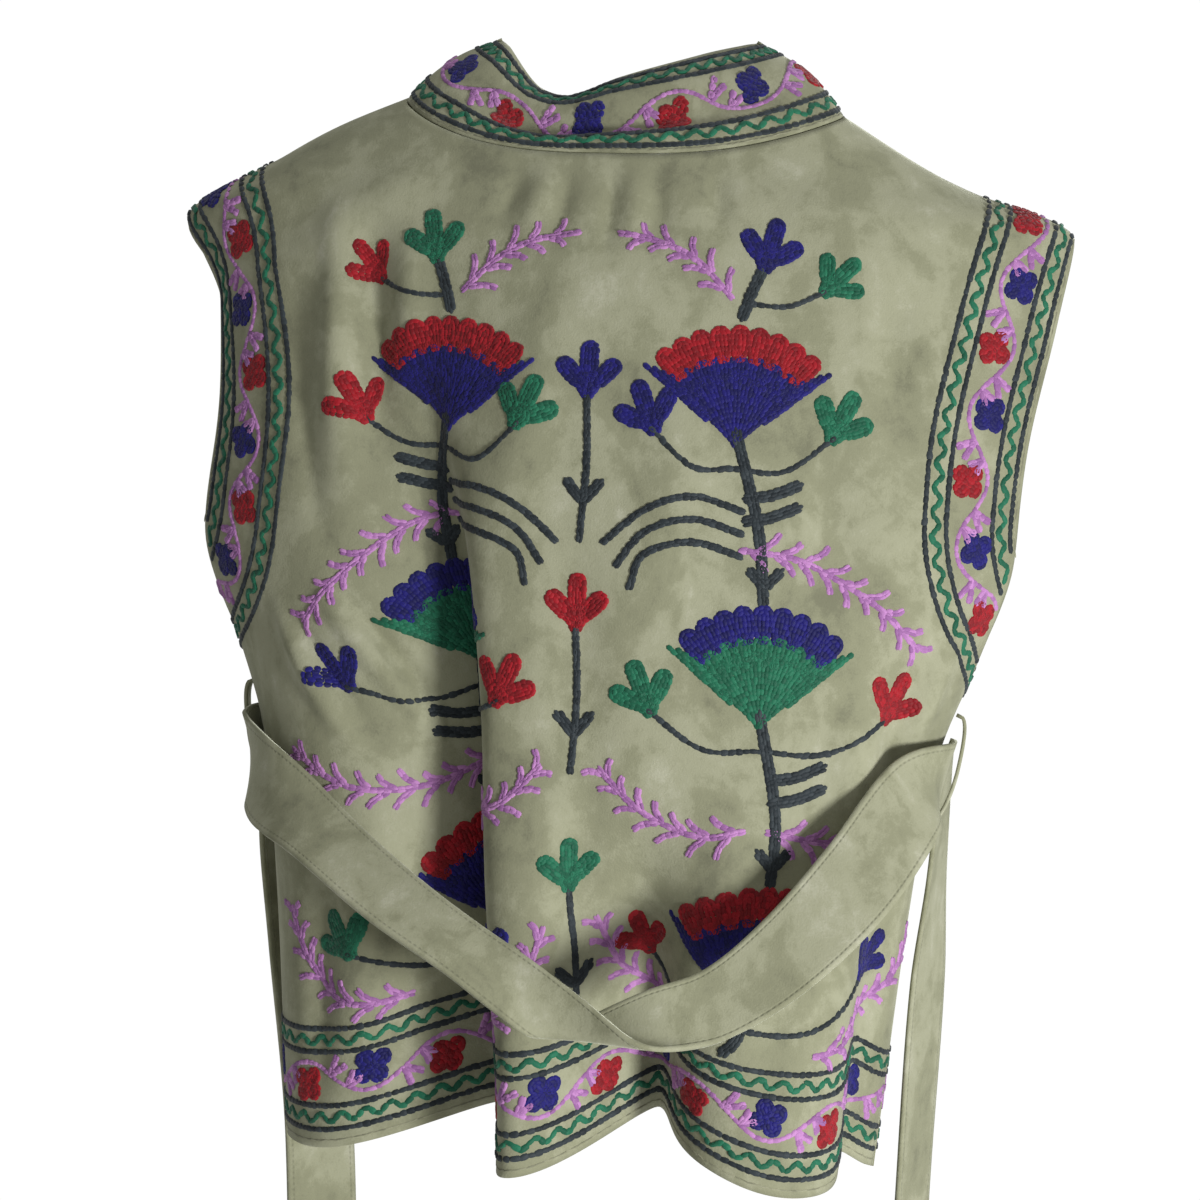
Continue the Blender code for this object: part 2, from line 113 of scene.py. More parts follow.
# Soft creases, each a line on the cloth from a head to a foot: its width and how far it stands out
# (less than zero: how far it sinks).
Crease = namedtuple("Crease", "side across height footAcross footHeight width rise")
creases = [
    Crease(back, -0.152, -0.080, -0.146, -0.225, 0.010, 0.0070),
    Crease(back, -0.130, -0.085, -0.122, -0.215, 0.011, -0.0070),
    Crease(back, -0.178, -0.120, -0.164, -0.260, 0.009, -0.0040),
    Crease(back, -0.108, -0.090, -0.104, -0.160, 0.010, 0.0050),
    Crease(back, -0.172, -0.290, -0.140, -0.372, 0.006, 0.0065),
    Crease(back, -0.160, -0.295, -0.128, -0.372, 0.006, -0.0045),
    Crease(back, -0.206, -0.300, -0.180, -0.372, 0.007, 0.0065),
    Crease(back, -0.192, -0.308, -0.167, -0.374, 0.007, -0.0045),
    Crease(back, 0.180, -0.330, 0.200, -0.420, 0.014, -0.0080),
    Crease(back, 0.152, -0.335, 0.162, -0.440, 0.014, 0.0060),
    Crease(back, 0.214, -0.300, 0.186, -0.370, 0.009, 0.0050),
    Crease(back, 0.120, -0.195, 0.152, -0.290, 0.018, -0.0045),
    Crease(back, 0.055, -0.180, 0.040, -0.290, 0.020, 0.0040),
    Crease(back, -0.020, -0.120, -0.045, -0.260, 0.018, 0.0045),
    Crease(back, -0.006, -0.250, 0.010, -0.380, 0.016, -0.0040),
    Crease(back, 0.100, -0.060, 0.175, -0.110, 0.014, 0.0045),
    Crease(back, 0.160, -0.110, 0.176, -0.200, 0.012, -0.0035),
    Crease(back, -0.100, -0.050, -0.180, -0.105, 0.014, 0.0045),
    Crease(back, -0.020, -0.050, -0.024, -0.088, 0.006, -0.0032),
    Crease(back, -0.034, -0.050, -0.040, -0.084, 0.006, 0.0026),
    Crease(back, 0.004, -0.050, 0.004, -0.094, 0.005, -0.0028),
    Crease(back, 0.016, -0.050, 0.018, -0.090, 0.005, 0.0024),
    Crease(back, 0.028, -0.050, 0.034, -0.086, 0.006, -0.0030),
    Crease(back, -0.048, -0.048, -0.058, -0.082, 0.007, -0.0030),
    Crease(back, 0.058, -0.046, 0.066, -0.078, 0.007, -0.0030),
    Crease(back, 0.010, -0.380, 0.002, -0.480, 0.016, -0.0050),
    Crease(back, 0.092, -0.400, 0.080, -0.500, 0.016, 0.0045),
    Crease(back, -0.178, -0.400, -0.190, -0.550, 0.016, 0.0065),
    Crease(back, -0.208, -0.430, -0.216, -0.570, 0.012, -0.0060),
    Crease(back, -0.150, -0.440, -0.160, -0.560, 0.013, -0.0045),
    Crease(back, 0.130, -0.470, 0.140, -0.570, 0.014, -0.0040),
    Crease(front, -0.200, -0.120, -0.150, -0.260, 0.014, 0.0060),
    Crease(front, 0.190, -0.130, 0.160, -0.270, 0.015, 0.0050),
    Crease(front, -0.190, -0.320, -0.120, -0.400, 0.010, -0.0050),
    Crease(front, 0.195, -0.310, 0.130, -0.390, 0.009, -0.0055),
    Crease(front, -0.110, -0.380, -0.120, -0.540, 0.014, 0.0055),
    Crease(front, 0.105, -0.360, 0.098, -0.520, 0.016, 0.0050),
]


def eased(value):
    value = np.clip(value, 0.0, 1.0)
    return value * value * (3.0 - 2.0 * value)


# A table's column as a smooth curve without overshoot, read at the given places.
def column(rows, key, name, at):
    rows = sorted(rows, key=lambda row: getattr(row, key))
    places = np.array([getattr(row, key) for row in rows], float)
    values = np.array([getattr(row, name) for row in rows], float)
    step = np.diff(places)
    slope = np.diff(values) / step
    tangent = np.zeros(len(rows))
    same = slope[:-1] * slope[1:] > 0
    tangent[1:-1][same] = 2.0 * (slope[:-1] * slope[1:])[same] / (slope[:-1] + slope[1:])[same]
    tangent[0], tangent[-1] = slope[0], slope[-1]
    at = np.clip(np.asarray(at, float), places[0], places[-1])
    k = np.clip(np.searchsorted(places, at, side="right") - 1, 0, len(step) - 1)
    h = step[k]
    t = (at - places[k]) / h
    return (
        values[k] * (1 + 2 * t) * (1 - t) ** 2
        + tangent[k] * h * t * (1 - t) ** 2
        + values[k + 1] * t * t * (3 - 2 * t)
        - tangent[k + 1] * h * t * t * (1 - t)
    )


# One level section, folds and all: each point's distance from the centre line, and the points.
def foldedSection(side, height):
    angle = np.linspace(-math.pi / 2, math.pi / 2, garment["ringSteps"])
    power = 2.0 / column(rings, "height", "squareness", height)
    stand = column(rings, "height", "back" if side == back else "front", height)
    sideways = np.sign(np.sin(angle)) * np.abs(np.sin(angle)) ** power
    x = column(rings, "height", "halfWidth", height) * sideways
    y = side * (stand * np.abs(np.cos(angle)) ** power + garment["seamGap"] / 2)
    place = np.concatenate([[0.0], np.cumsum(np.hypot(np.diff(x), np.diff(y)))])
    place -= np.interp(0.0, x, place)
    alongX, alongY = np.gradient(x, place), np.gradient(y, place)
    outX, outY = -side * alongY, side * alongX
    z = np.full_like(x, height)
    for fold in folds:
        if fold.side != side:
            continue
        grown = eased((fold.head - height) / (fold.head - fold.full))
        centre = fold.atHem + (fold.atHead - fold.atHem) * (1 - grown)
        grown = grown * eased((height - fold.gone) / (fold.full - fold.gone))
        shape = grown * np.exp(-(((place - centre) / fold.width) ** 2))
        x = x + shape * (fold.lean * alongX - fold.depth * outX)
        y = y + shape * (fold.lean * alongY - fold.depth * outY)
        z = z + shape * fold.lift
    length = np.concatenate([[0.0], np.cumsum(np.hypot(np.diff(x), np.diff(y)))])
    length -= length[np.argmin(np.abs(place))]
    return length, np.stack([x, y, z], axis=1)


# Where flat cloth lies in space: a table of points over (u, v), read between its entries.
class Surface:

    def __init__(self, us, vs, points, toward):
        self.us, self.vs, self.points = us, vs, points
        self.sign = 1.0
        self.settle()
        if toward is not None and (self.normals * toward).sum() < 0:
            self.sign = -1.0
            self.settle()

    def settle(self):
        du = np.gradient(self.points, self.us, axis=1)
        dv = np.gradient(self.points, self.vs, axis=0)
        normals = np.cross(du, dv) * self.sign
        self.normals = normals / np.maximum(np.linalg.norm(normals, axis=2, keepdims=True), 1e-12)

    def read(self, table, flat):
        i = (flat[:, 0] - self.us[0]) / (self.us[-1] - self.us[0]) * (len(self.us) - 1)
        j = (flat[:, 1] - self.vs[0]) / (self.vs[-1] - self.vs[0]) * (len(self.vs) - 1)
        i, j = np.clip(i, 0, len(self.us) - 1.001), np.clip(j, 0, len(self.vs) - 1.001)
        a, b = i.astype(int), j.astype(int)
        s, t = (i - a)[:, None], (j - b)[:, None]
        return (
            table[b, a] * (1 - s) * (1 - t)
            + table[b, a + 1] * s * (1 - t)
            + table[b + 1, a] * (1 - s) * t
            + table[b + 1, a + 1] * s * t
        )

    def hang(self, flat):
        flat = np.asarray(flat, float).reshape(-1, 2)
        normals = self.read(self.normals, flat)
        return self.read(self.points, flat), normals / np.linalg.norm(normals, axis=1, keepdims=True)


# The back or both fronts as one table, with the distance of the side seams at each height.
def panelSurface(side):
    vs = np.arange(-0.604, 0.0105, garment["tableStep"])
    us = np.arange(-0.352, 0.3525, garment["tableStep"])
    points, ends = [], []
    for height in vs:
        length, line = foldedSection(side, min(height, 0.0))
        line = line + [0.0, 0.0, max(height, 0.0)]
        row = np.stack([np.interp(us, length, line[:, k]) for k in range(3)], axis=1)
        for end, inner, past in ((0, 3, us < length[0]), (-1, -4, us > length[-1])):
            way = (line[end] - line[inner]) / abs(length[end] - length[inner])
            row[past] = line[end] + way * np.abs(us[past] - length[end])[:, None]
        points.append(row)
        ends.append((length[0], length[-1]))
    points = np.array(points)
    middle = points - [0.0, 0.0, 1.0] * points
    surface = Surface(us, vs, points, middle)
    u, v = np.meshgrid(us, vs)
    rise = np.zeros_like(u)
    for c in creases:
        if c.side != side:
            continue
        way = np.array([c.footAcross - c.across, c.footHeight - c.height])
        t = np.clip(((u - c.across) * way[0] + (v - c.height) * way[1]) / (way @ way), 0, 1)
        away = np.hypot(u - c.across - t * way[0], v - c.height - t * way[1])
        rise += c.rise * np.exp(-((away / c.width) ** 2)) * np.sin(math.pi * (0.08 + 0.84 * t))
    surface.points = surface.points + surface.normals * rise[:, :, None]
    surface.settle()
    surface.seams = np.array(ends)
    return surface


surfaces = {back: panelSurface(back), front: panelSurface(front)}
print("stage: cloth laid out")


# How far along the cloth the side seam lies on one hand (-1 left, 1 right), at each height.
def seamAt(side, height, hand):
    surface = surfaces[side]
    return np.interp(height, surface.vs, surface.seams[:, 1 if hand > 0 else 0])


def armholeGap(height):
    rise = np.clip((height - garment["underarm"]) / (garment["shoulderTip"] - garment["underarm"]), 0, 1)
    return (
        garment["armholeHalfOpening"]
        * np.sin(math.pi * rise ** garment["armholeLowSet"]) ** garment["armholeRoundness"]
    )


# The armhole's edge and below it the side seam, as places on the flat cut.
def outerEdge(side, height, hand):
    return np.stack([seamAt(side, height, hand) - hand * armholeGap(height), height], axis=-1)


def neckEdge(part):
    height = -garment["neckDrop"] * (1 - np.abs(part) ** garment["neckFullness"])
    return np.stack([seamAt(back, 0.0, 1) * part, height], axis=-1)


# Where a front panel ends and its band begins, as a distance from the centre front.
def frontEdge(height):
    reach = seamAt(front, 0.0, 1) - garment["frontEdge"]
    return garment["frontEdge"] + reach * (1 - eased(height / garment["veeFoot"])) ** garment["veeHollow"]


def backTop(part):
    share = garment["neckShareOfTop"]
    place = 2 * part - 1
    out = np.clip((np.abs(place) - share) / (1 - share), 0, 1)
    height = garment["shoulderTip"] * out
    hand = np.sign(place)
    seam = np.where(hand > 0, seamAt(back, height, 1), seamAt(back, height, -1))
    shoulder = np.stack([seam, height], axis=-1)
    neck = neckEdge(np.clip(place / share, -1, 1))
    return np.where((np.abs(place) <= share)[:, None], neck, shoulder)


# Places inside a flat cut whose left, right and top edges are curves and whose hem is level.
def patch(top, left, right, s, t):
    one = np.ones(1)
    sCol, tCol = s[:, None], t[:, None]
    ends = (1 - tCol) * top(s) + tCol * ((1 - sCol) * left(one) + sCol * right(one))
    corners = (1 - tCol) * ((1 - sCol) * top(0 * one) + sCol * top(one)) + tCol * (
        (1 - sCol) * left(one) + sCol * right(one)
    )
    return (1 - sCol) * left(t) + sCol * right(t) + ends - corners


def heightDown(part):
    return garment["shoulderTip"] + (garment["hem"] - garment["shoulderTip"]) * part


def nodeGroup(name, sockets):
    group = bpy.data.node_groups.new(name, "ShaderNodeTree")
    for socket, direction, kind, value in sockets:
        made = group.interface.new_socket(socket, in_out=direction, socket_type=kind)
        if value is not None:
            made.default_value = value
    return group, group.nodes.new("NodeGroupInput"), group.nodes.new("NodeGroupOutput")


def noise(tree, vector, scale, detail, roughness=0.55, distortion=0.0):
    made = tree.nodes.new("ShaderNodeTexNoise")
    made.inputs["Scale"].default_value = scale
    made.inputs["Detail"].default_value = detail
    made.inputs["Roughness"].default_value = roughness
    made.inputs["Distortion"].default_value = distortion
    tree.links.new(vector, made.inputs["Vector"])
    return made.outputs["Fac"]


def maths(tree, operation, first, second=0.5, third=None):
    made = tree.nodes.new("ShaderNodeMath")
    made.operation = operation
    for socket, value in zip(made.inputs, (first, second, third)):
        if value is None:
            continue
        if isinstance(value, (int, float)):
            socket.default_value = value
        else:
            tree.links.new(value, socket)
    return made.outputs[0]


def ramp(tree, factor, stops):
    made = tree.nodes.new("ShaderNodeValToRGB")
    made.color_ramp.interpolation = "EASE"
    for k, (place, colour) in enumerate(stops):
        stop = made.color_ramp.elements[k] if k < 2 else made.color_ramp.elements.new(place)
        stop.position = place
        stop.color = (*colour, 1.0)
    tree.links.new(factor, made.inputs["Fac"])
    return made.outputs["Color"]


# Sage velvet whose nap is brushed one way and the other in soft patches.
def velvetGroup():
    group, inner, outer = nodeGroup(
        "velvetNap",
        [
            ("Vector", "INPUT", "NodeSocketVector", None),
            ("Patch Scale", "INPUT", "NodeSocketFloat", 24.0),
            ("Light", "INPUT", "NodeSocketFloat", 0.0),
            ("Color", "OUTPUT", "NodeSocketColor", None),
            ("Height", "OUTPUT", "NodeSocketFloat", None),
            ("Nap", "OUTPUT", "NodeSocketFloat", None),
        ],
    )
    vector = inner.outputs["Vector"]
    broad = group.nodes.new("ShaderNodeTexNoise")
    broad.inputs["Detail"].default_value = 3.0
    broad.inputs["Roughness"].default_value = 0.6
    broad.inputs["Distortion"].default_value = 0.5
    brushed = group.nodes.new("ShaderNodeVectorMath")
    brushed.operation = "MULTIPLY"
    brushed.inputs[1].default_value = (1.0, 1.0, 0.62)
    group.links.new(vector, brushed.inputs[0])
    group.links.new(brushed.outputs[0], broad.inputs["Vector"])
    group.links.new(inner.outputs["Patch Scale"], broad.inputs["Scale"])
    small = noise(group, vector, 70.0, 3.0, 0.55, 0.3)
    grain = noise(group, vector, 900.0, 2.0, 0.7)
    crush = noise(group, vector, 260.0, 2.0, 0.6)
    nap = maths(group, "MULTIPLY_ADD", broad.outputs["Fac"], 0.60, 0.0)
    nap = maths(group, "MULTIPLY_ADD", small, 0.22, nap)
    nap = maths(group, "MULTIPLY_ADD", crush, 0.08, nap)
    nap = maths(group, "MULTIPLY_ADD", grain, 0.11, nap)
    nap = maths(group, "ADD", nap, inner.outputs["Light"])
    colour = ramp(
        group,
        nap,
        [
            (0.34, (0.180, 0.182, 0.120)),
            (0.72, (0.430, 0.430, 0.325)),
            (0.47, (0.252, 0.255, 0.166)),
            (0.57, (0.322, 0.325, 0.222)),
        ],
    )
    group.links.new(colour, outer.inputs["Color"])
    height = maths(group, "MULTIPLY_ADD", grain, 0.6, maths(group, "MULTIPLY", crush, 0.4))
    group.links.new(height, outer.inputs["Height"])
    group.links.new(nap, outer.inputs["Nap"])
    return group


napGroup = velvetGroup()


# Velvet; topstitch lists the distances of stitched lines from the middle of the strip.
def clothMaterial(name, light=0.0, patchScale=24.0, topstitch=()):
    material = bpy.data.materials.new(name)
    material.use_nodes = True
    tree = material.node_tree
    shader = tree.nodes["Principled BSDF"]
    place = tree.nodes.new("ShaderNodeTexCoord")
    nap = tree.nodes.new("ShaderNodeGroup")
    nap.node_tree = napGroup
    nap.inputs["Patch Scale"].default_value = patchScale
    nap.inputs["Light"].default_value = light
    tree.links.new(place.outputs["Object"], nap.inputs["Vector"])
    colour, height = nap.outputs["Color"], nap.outputs["Height"]
    if topstitch:
        flat = tree.nodes.new("ShaderNodeAttribute")
        flat.attribute_name = "flat"
        parts = tree.nodes.new("ShaderNodeSeparateXYZ")
        tree.links.new(flat.outputs["Vector"], parts.inputs[0])
        line = None
        for distance in topstitch:
            off = maths(tree, "ABSOLUTE", maths(tree, "SUBTRACT", parts.outputs["Y"], distance))
            near = maths(tree, "SUBTRACT", 1.0, maths(tree, "DIVIDE", off, 0.0009))
            near = maths(tree, "MAXIMUM", near, 0.0)
            line = near if line is None else maths(tree, "ADD", line, near)
        dash = maths(tree, "SINE", maths(tree, "MULTIPLY", parts.outputs["X"], 2 * math.pi / 0.0034))
        dash = maths(tree, "MULTIPLY_ADD", dash, 0.35, 0.65)
        line = maths(tree, "MULTIPLY", line, dash)
        dark = tree.nodes.new("ShaderNodeMix")
        dark.data_type = "RGBA"
        dark.inputs["B"].default_value = (0.13, 0.13, 0.085, 1.0)
        tree.links.new(maths(tree, "MULTIPLY", line, 0.45), dark.inputs["Factor"])
        tree.links.new(colour, dark.inputs["A"])
        colour = dark.outputs["Result"]
        height = maths(tree, "SUBTRACT", height, maths(tree, "MULTIPLY", line, 1.2))
    tree.links.new(colour, shader.inputs["Base Color"])
    bump = tree.nodes.new("ShaderNodeBump")
    bump.inputs["Strength"].default_value = 0.55
    bump.inputs["Distance"].default_value = 0.0007
    tree.links.new(height, bump.inputs["Height"])
    tree.links.new(bump.outputs["Normal"], shader.inputs["Normal"])
    shader.inputs["Roughness"].default_value = 0.88
    shader.inputs["Specular IOR Level"].default_value = 0.12
    shader.inputs["Sheen Weight"].default_value = 0.45
    shader.inputs["Sheen Roughness"].default_value = 0.38
    shader.inputs["Sheen Tint"].default_value = (0.86, 0.88, 0.72, 1.0)
    return material


finishes = {
    "velvet": clothMaterial("velvetSage"),
    "band": clothMaterial("velvetBand", light=-0.01, patchScale=34.0),
    "belt": clothMaterial("velvetBelt", light=0.035, patchScale=30.0, topstitch=(-0.0215, 0.0215)),
}


# A grid of places on the flat cut, hung on its surface and given its wall.
def shell(name, surface, flat, columns, rows, wall, offset, finish, nodes, cut):
    shape = bmesh.new()
    bmesh.ops.create_grid(shape, x_segments=columns, y_segments=rows, size=0.5)
    grid = np.array([vertex.co[:] for vertex in shape.verts])
    places = flat(grid[:, 0] + 0.5, 0.5 - grid[:, 1])
    points, normals = surface.hang(places)
    for vertex, point in zip(shape.verts, points):
        vertex.co = point
    shape.faces.ensure_lookup_table()
    shape.normal_update()
    facing = sum(
        face.normal.dot(Vector(normals[face.verts[0].index])) for face in list(shape.faces)[::17]
    )
    if facing < 0:
        bmesh.ops.reverse_faces(shape, faces=shape.faces)
    mesh = bpy.data.meshes.new(name)
    shape.to_mesh(mesh)
    shape.free()
    attribute = mesh.attributes.new("flat", "FLOAT_VECTOR", "POINT")
    attribute.data.foreach_set("vector", np.c_[places, np.zeros(len(places))].astype(np.float32).ravel())
    mesh.materials.append(finishes[finish])
    mesh.shade_smooth()
    mesh.set_sharp_from_angle(angle=math.radians(60))
    piece = bpy.data.objects.new(name, mesh)
    bpy.context.scene.collection.objects.link(piece)
    thick = piece.modifiers.new("Wall", "SOLIDIFY")
    thick.thickness = wall
    thick.offset = offset
    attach(piece, "root")
    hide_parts(*nodes)
    sheets.append((piece, cut))
    return piece


sheets = []
Cut = namedtuple("Cut", "width length area held rests")

shell(
    "backCloth",
    surfaces[back],
    lambda s, t: patch(
        backTop,
        lambda part: outerEdge(back, heightDown(part), -1),
        lambda part: outerEdge(back, heightDown(part), 1),
        s,
        t,
    ),
    230,
    140,
    garment["wall"],
    1.0,
    "velvet",
    ["back_panel"],
    Cut(0.60, 0.60, 0.300, "hung", ()),
)


def frontCloth(hand, name, node):
    inner = lambda part: np.stack(
        [hand * frontEdge(garment["hem"] * part), garment["hem"] * part], axis=-1
    )
    outer = lambda part: outerEdge(front, heightDown(part), hand)
    top = lambda part: np.stack(
        [seamAt(front, garment["shoulderTip"] * part, hand), garment["shoulderTip"] * part], axis=-1
    )
    return shell(
        name,
        surfaces[front],
        lambda s, t: patch(top, inner, outer, s, t),
        80,
        120,
        garment["wall"],
        1.0,
        "velvet",
        [node],
        Cut(0.27, 0.60, 0.105, "hung", ()),
    )


frontCloth(-1, "frontClothLeft", "front_left")
frontCloth(1, "frontClothRight", "front_right")
print("stage: back and fronts hung")

# The free edge of the neck band round the back: half its width across, how far back it stands, its
# height, and how deep the slumped crease is.
Stand = namedtuple("Stand", "angle across behind height crease")
standRows = [
    Stand(-90, -0.0745, 0.000, 0.0390, 0.000),
    Stand(-66, -0.0680, 0.012, 0.0330, 0.002),
    Stand(-38, -0.0440, 0.026, 0.0050, 0.007),
    Stand(-24, -0.0300, 0.030, 0.0010, 0.009),
    Stand(0, 0.0000, 0.033, 0.0110, 0.009),
    Stand(35, 0.0450, 0.026, 0.0260, 0.006),
    Stand(66, 0.0680, 0.012, 0.0350, 0.002),
    Stand(90, 0.0745, 0.000, 0.0390, 0.000),
]
collarLook = {
    "bulge": 0.006,
    "creaseAt": 0.44,
    "creaseWidth": 0.17,
    "creaseDrop": 0.8,
    "lastOfSeam": 0.999,
    "stations": 181,
    "risers": 41,
    "columns": 150,
    "rows": 30,
}


def unit(vectors):
    return vectors / np.linalg.norm(vectors, axis=-1, keepdims=True)


def onOuterFace(side, flat):
    points, normals = surfaces[side].hang(flat)
    return points + normals * garment["wall"], normals


def stand(name, angle):
    return column(standRows, "angle", name, angle)


def lengthsOf(line):
    return np.concatenate([[0.0], np.cumsum(np.linalg.norm(np.diff(line, axis=0), axis=1))])


# A strip sewn on along one edge, as a table over (metres along, metres up from the seam).
def stripSurface(make, stations, risers, width, toward):
    rough = np.linspace(0, 1, stations)
    lengths = lengthsOf(make(rough, np.full(stations, 0.35)))
    even = np.interp(np.linspace(0, lengths[-1], stations), lengths, rough)
    vs = np.linspace(0.0, width, risers)
    points = np.array([make(even, np.full(stations, v / width)) for v in vs])
    return Surface(np.linspace(0.0, lengths[-1], stations), vs, points, toward)


def collarPoints(part01, rise):
    look = collarLook
    part = 2 * part01 - 1
    angle = 90 * part
    seam, out = onOuterFace(back, neckEdge(part * look["lastOfSeam"]))
    edge = np.stack([stand("across", angle), -stand("behind", angle), stand("height", angle)], axis=1)
    up = unit(edge - seam)
    seam = seam + up * garment["bandSeamGap"]
    dent = stand("crease", angle) * np.exp(-(((rise - look["creaseAt"]) / look["creaseWidth"]) ** 2))
    away = unit(out - up * (out * up).sum(axis=1)[:, None])
    swell = look["bulge"] * np.sin(math.pi * rise) - dent
    points = seam + (edge - seam) * rise[:, None] + away * swell[:, None]
    points = points - up * (look["creaseDrop"] * dent)[:, None]
    points[:, 1] -= garment["bandSeamGap"] * (np.abs(part) > look["lastOfSeam"])
    return points


collarSurface = stripSurface(
    collarPoints, collarLook["stations"], collarLook["risers"], garment["bandWidth"], np.array([0, -1, 0])
)
collarLength = collarSurface.us[-1]
shell(
    "collarCloth",
    collarSurface,
    lambda s, t: np.stack([s * collarLength, (1 - t) * garment["bandWidth"]], axis=1),
    collarLook["columns"],
    collarLook["rows"],
    garment["wall"],
    -1.0,
    "band",
    ["collar"],
    Cut(collarLength, garment["bandWidth"], None, "hung", ("backCloth",)),
)

bandLook = {"settled": -0.115, "bulge": 0.005, "inset": 0.0001, "step": 0.002, "stations": 241, "risers": 25}


def bandPoints(hand):
    look = bandLook
    start = np.array([hand * stand("across", 90), garment["seamGap"], stand("height", 90)])

    def make(down, out01):
        height = garment["hem"] * down
        across = frontEdge(height)
        slope = (frontEdge(height - look["step"]) - frontEdge(height + look["step"])) / (2 * look["step"])
        slant = np.arctan(np.maximum(-slope, 0.0))
        seamFlat = np.stack([hand * (across - look["inset"]), height - look["inset"]], axis=1)
        seam, out = onOuterFace(front, seamFlat)
        high = np.minimum(height + garment["bandWidth"] * np.sin(slant) * (1 - down), -look["inset"])
        edgeFlat = np.stack([hand * (across - garment["bandWidth"] * np.cos(slant)), high], axis=1)
        flatEdge, _ = onOuterFace(front, edgeFlat)
        lying = eased(height / look["settled"])[:, None]
        edge = start + (flatEdge - start) * lying
        over = unit(edge - seam)
        gap = garment["seamGap"] + (garment["bandSeamGap"] - garment["seamGap"]) * (1 - lying)
        seam = seam + over * gap
        away = unit(out - over * (out * over).sum(axis=1)[:, None])
        points = seam + (edge - seam) * out01[:, None]
        points = points + away * (look["bulge"] * np.sin(math.pi * out01))[:, None] * (1 - lying)
        points[:, 1] += garment["bandSeamGap"] * (1 - lying[:, 0])
        return points

    return make


bandSurfaces, bandPieces = {}, {}
for hand, name, node in ((-1, "bandClothLeft", "front_band_left"), (1, "bandClothRight", "front_band_right")):
    surface = stripSurface(
        bandPoints(hand), bandLook["stations"], bandLook["risers"], garment["bandWidth"], np.array([0, 1, 0])
    )
    bandSurfaces[hand] = surface
    bandPieces[hand] = shell(
        name,
        surface,
        lambda s, t, reach=surface.us[-1]: np.stack([t * reach, s * garment["bandWidth"]], axis=1),
        20,
        170,
        garment["wall"],
        -1.0,
        "band",
        [node],
        Cut(garment["bandWidth"], surface.us[-1], None, "hung", ("frontCloth" + name[9:],)),
    )
print("stage: neck band sewn on")

# The belt's route: its middle, the way to the edge that is uppermost on the left, and its width. Half
# way round its lower edge it is folded under along a level line and lies behind from there on.
Station = namedtuple("Station", "x y z edgeX edgeY edgeZ width")
beltLook = {"foldHeight": -0.505, "foldRadius": 0.006, "wall": 0.0026, "leftLoop": 5, "rightLoop": 6}
beforeFold = [
    Station(-0.158, 0.060, -0.828, 0.62, 0.78, 0.00, 0.050),
    Station(-0.168, 0.055, -0.620, 0.62, 0.78, 0.00, 0.050),
    Station(-0.184, 0.046, -0.500, 0.50, 0.86, 0.00, 0.050),
    Station(-0.1975, 0.036, -0.428, 0.20, 0.97, 0.15, 0.046),
    Station(-0.1995, 0.021, -0.385, -0.20, 0.60, 0.76, 0.038),
    Station(-0.1985, 0.000, -0.371, -0.30, 0.05, 0.95, 0.033),
    Station(-0.1985, -0.022, -0.376, -0.25, -0.35, 0.90, 0.037),
    Station(-0.182, -0.066, -0.392, 0.30, -0.05, 0.95, 0.042),
    Station(-0.140, -0.104, -0.415, 0.45, 0.68, 0.58, 0.042),
    Station(-0.088, -0.134, -0.446, 0.36, 0.76, 0.53, 0.041),
    Station(-0.040, -0.150, -0.472, 0.30, 0.70, 0.64, 0.036),
    Station(0.014, -0.156, -0.505, 0.24, 0.10, 0.96, 0.034),
]
behindFold = [
    Station(0.054, -0.154, -0.501, 0.20, -0.20, -0.96, 0.034),
    Station(0.088, -0.148, -0.489, 0.42, -0.25, -0.87, 0.037),
    Station(0.121, -0.135, -0.464, 0.56, -0.30, -0.77, 0.043),
    Station(0.155, -0.108, -0.427, 0.62, -0.22, -0.75, 0.048),
    Station(0.184, -0.068, -0.385, 0.56, 0.10, -0.80, 0.046),
    Station(0.1995, -0.026, -0.373, -0.20, 0.30, -0.92, 0.037),
    Station(0.1985, 0.000, -0.371, -0.30, -0.05, -0.95, 0.033),
    Station(0.1995, 0.021, -0.387, -0.20, -0.65, -0.70, 0.038),
    Station(0.1985, 0.034, -0.432, -0.20, -0.97, -0.10, 0.046),
    Station(0.1960, 0.042, -0.500, -0.36, -0.93, 0.00, 0.050),
    Station(0.1930, 0.048, -0.620, -0.36, -0.93, 0.00, 0.050),
    Station(0.1900, 0.050, -0.828, -0.36, -0.93, 0.00, 0.050),
]


def openedOut(height):
    return 2 * beltLook["foldHeight"] - math.pi * beltLook["foldRadius"] - height


def beltRoute():
    rows = [list(station) for station in beforeFold]
    for station in behindFold:
        opened = station._replace(
            y=station.y - 2 * beltLook["foldRadius"], z=openedOut(station.z), edgeZ=-station.edgeZ
        )
        rows.append(list(opened))
    rows = np.array(rows)
    return rows, lengthsOf(rows[:, :3])


def alongRoute(rows, distance, at):
    k = np.clip(np.searchsorted(distance, at, side="right") - 1, 0, len(rows) - 2)
    before, after = np.maximum(k - 1, 0), np.minimum(k + 2, len(rows) - 1)
    span = (distance[k + 1] - distance[k])[:, None]
    t = (at - distance[k])[:, None] / span
    start = (rows[k + 1] - rows[before]) / (distance[k + 1] - distance[before])[:, None] * span
    end = (rows[after] - rows[k]) / (distance[after] - distance[k])[:, None] * span
    return (
        rows[k] * (1 + 2 * t) * (1 - t) ** 2
        + start * t * (1 - t) ** 2
        + rows[k + 1] * t * t * (3 - 2 * t)
        - end * t * t * (1 - t)
    )


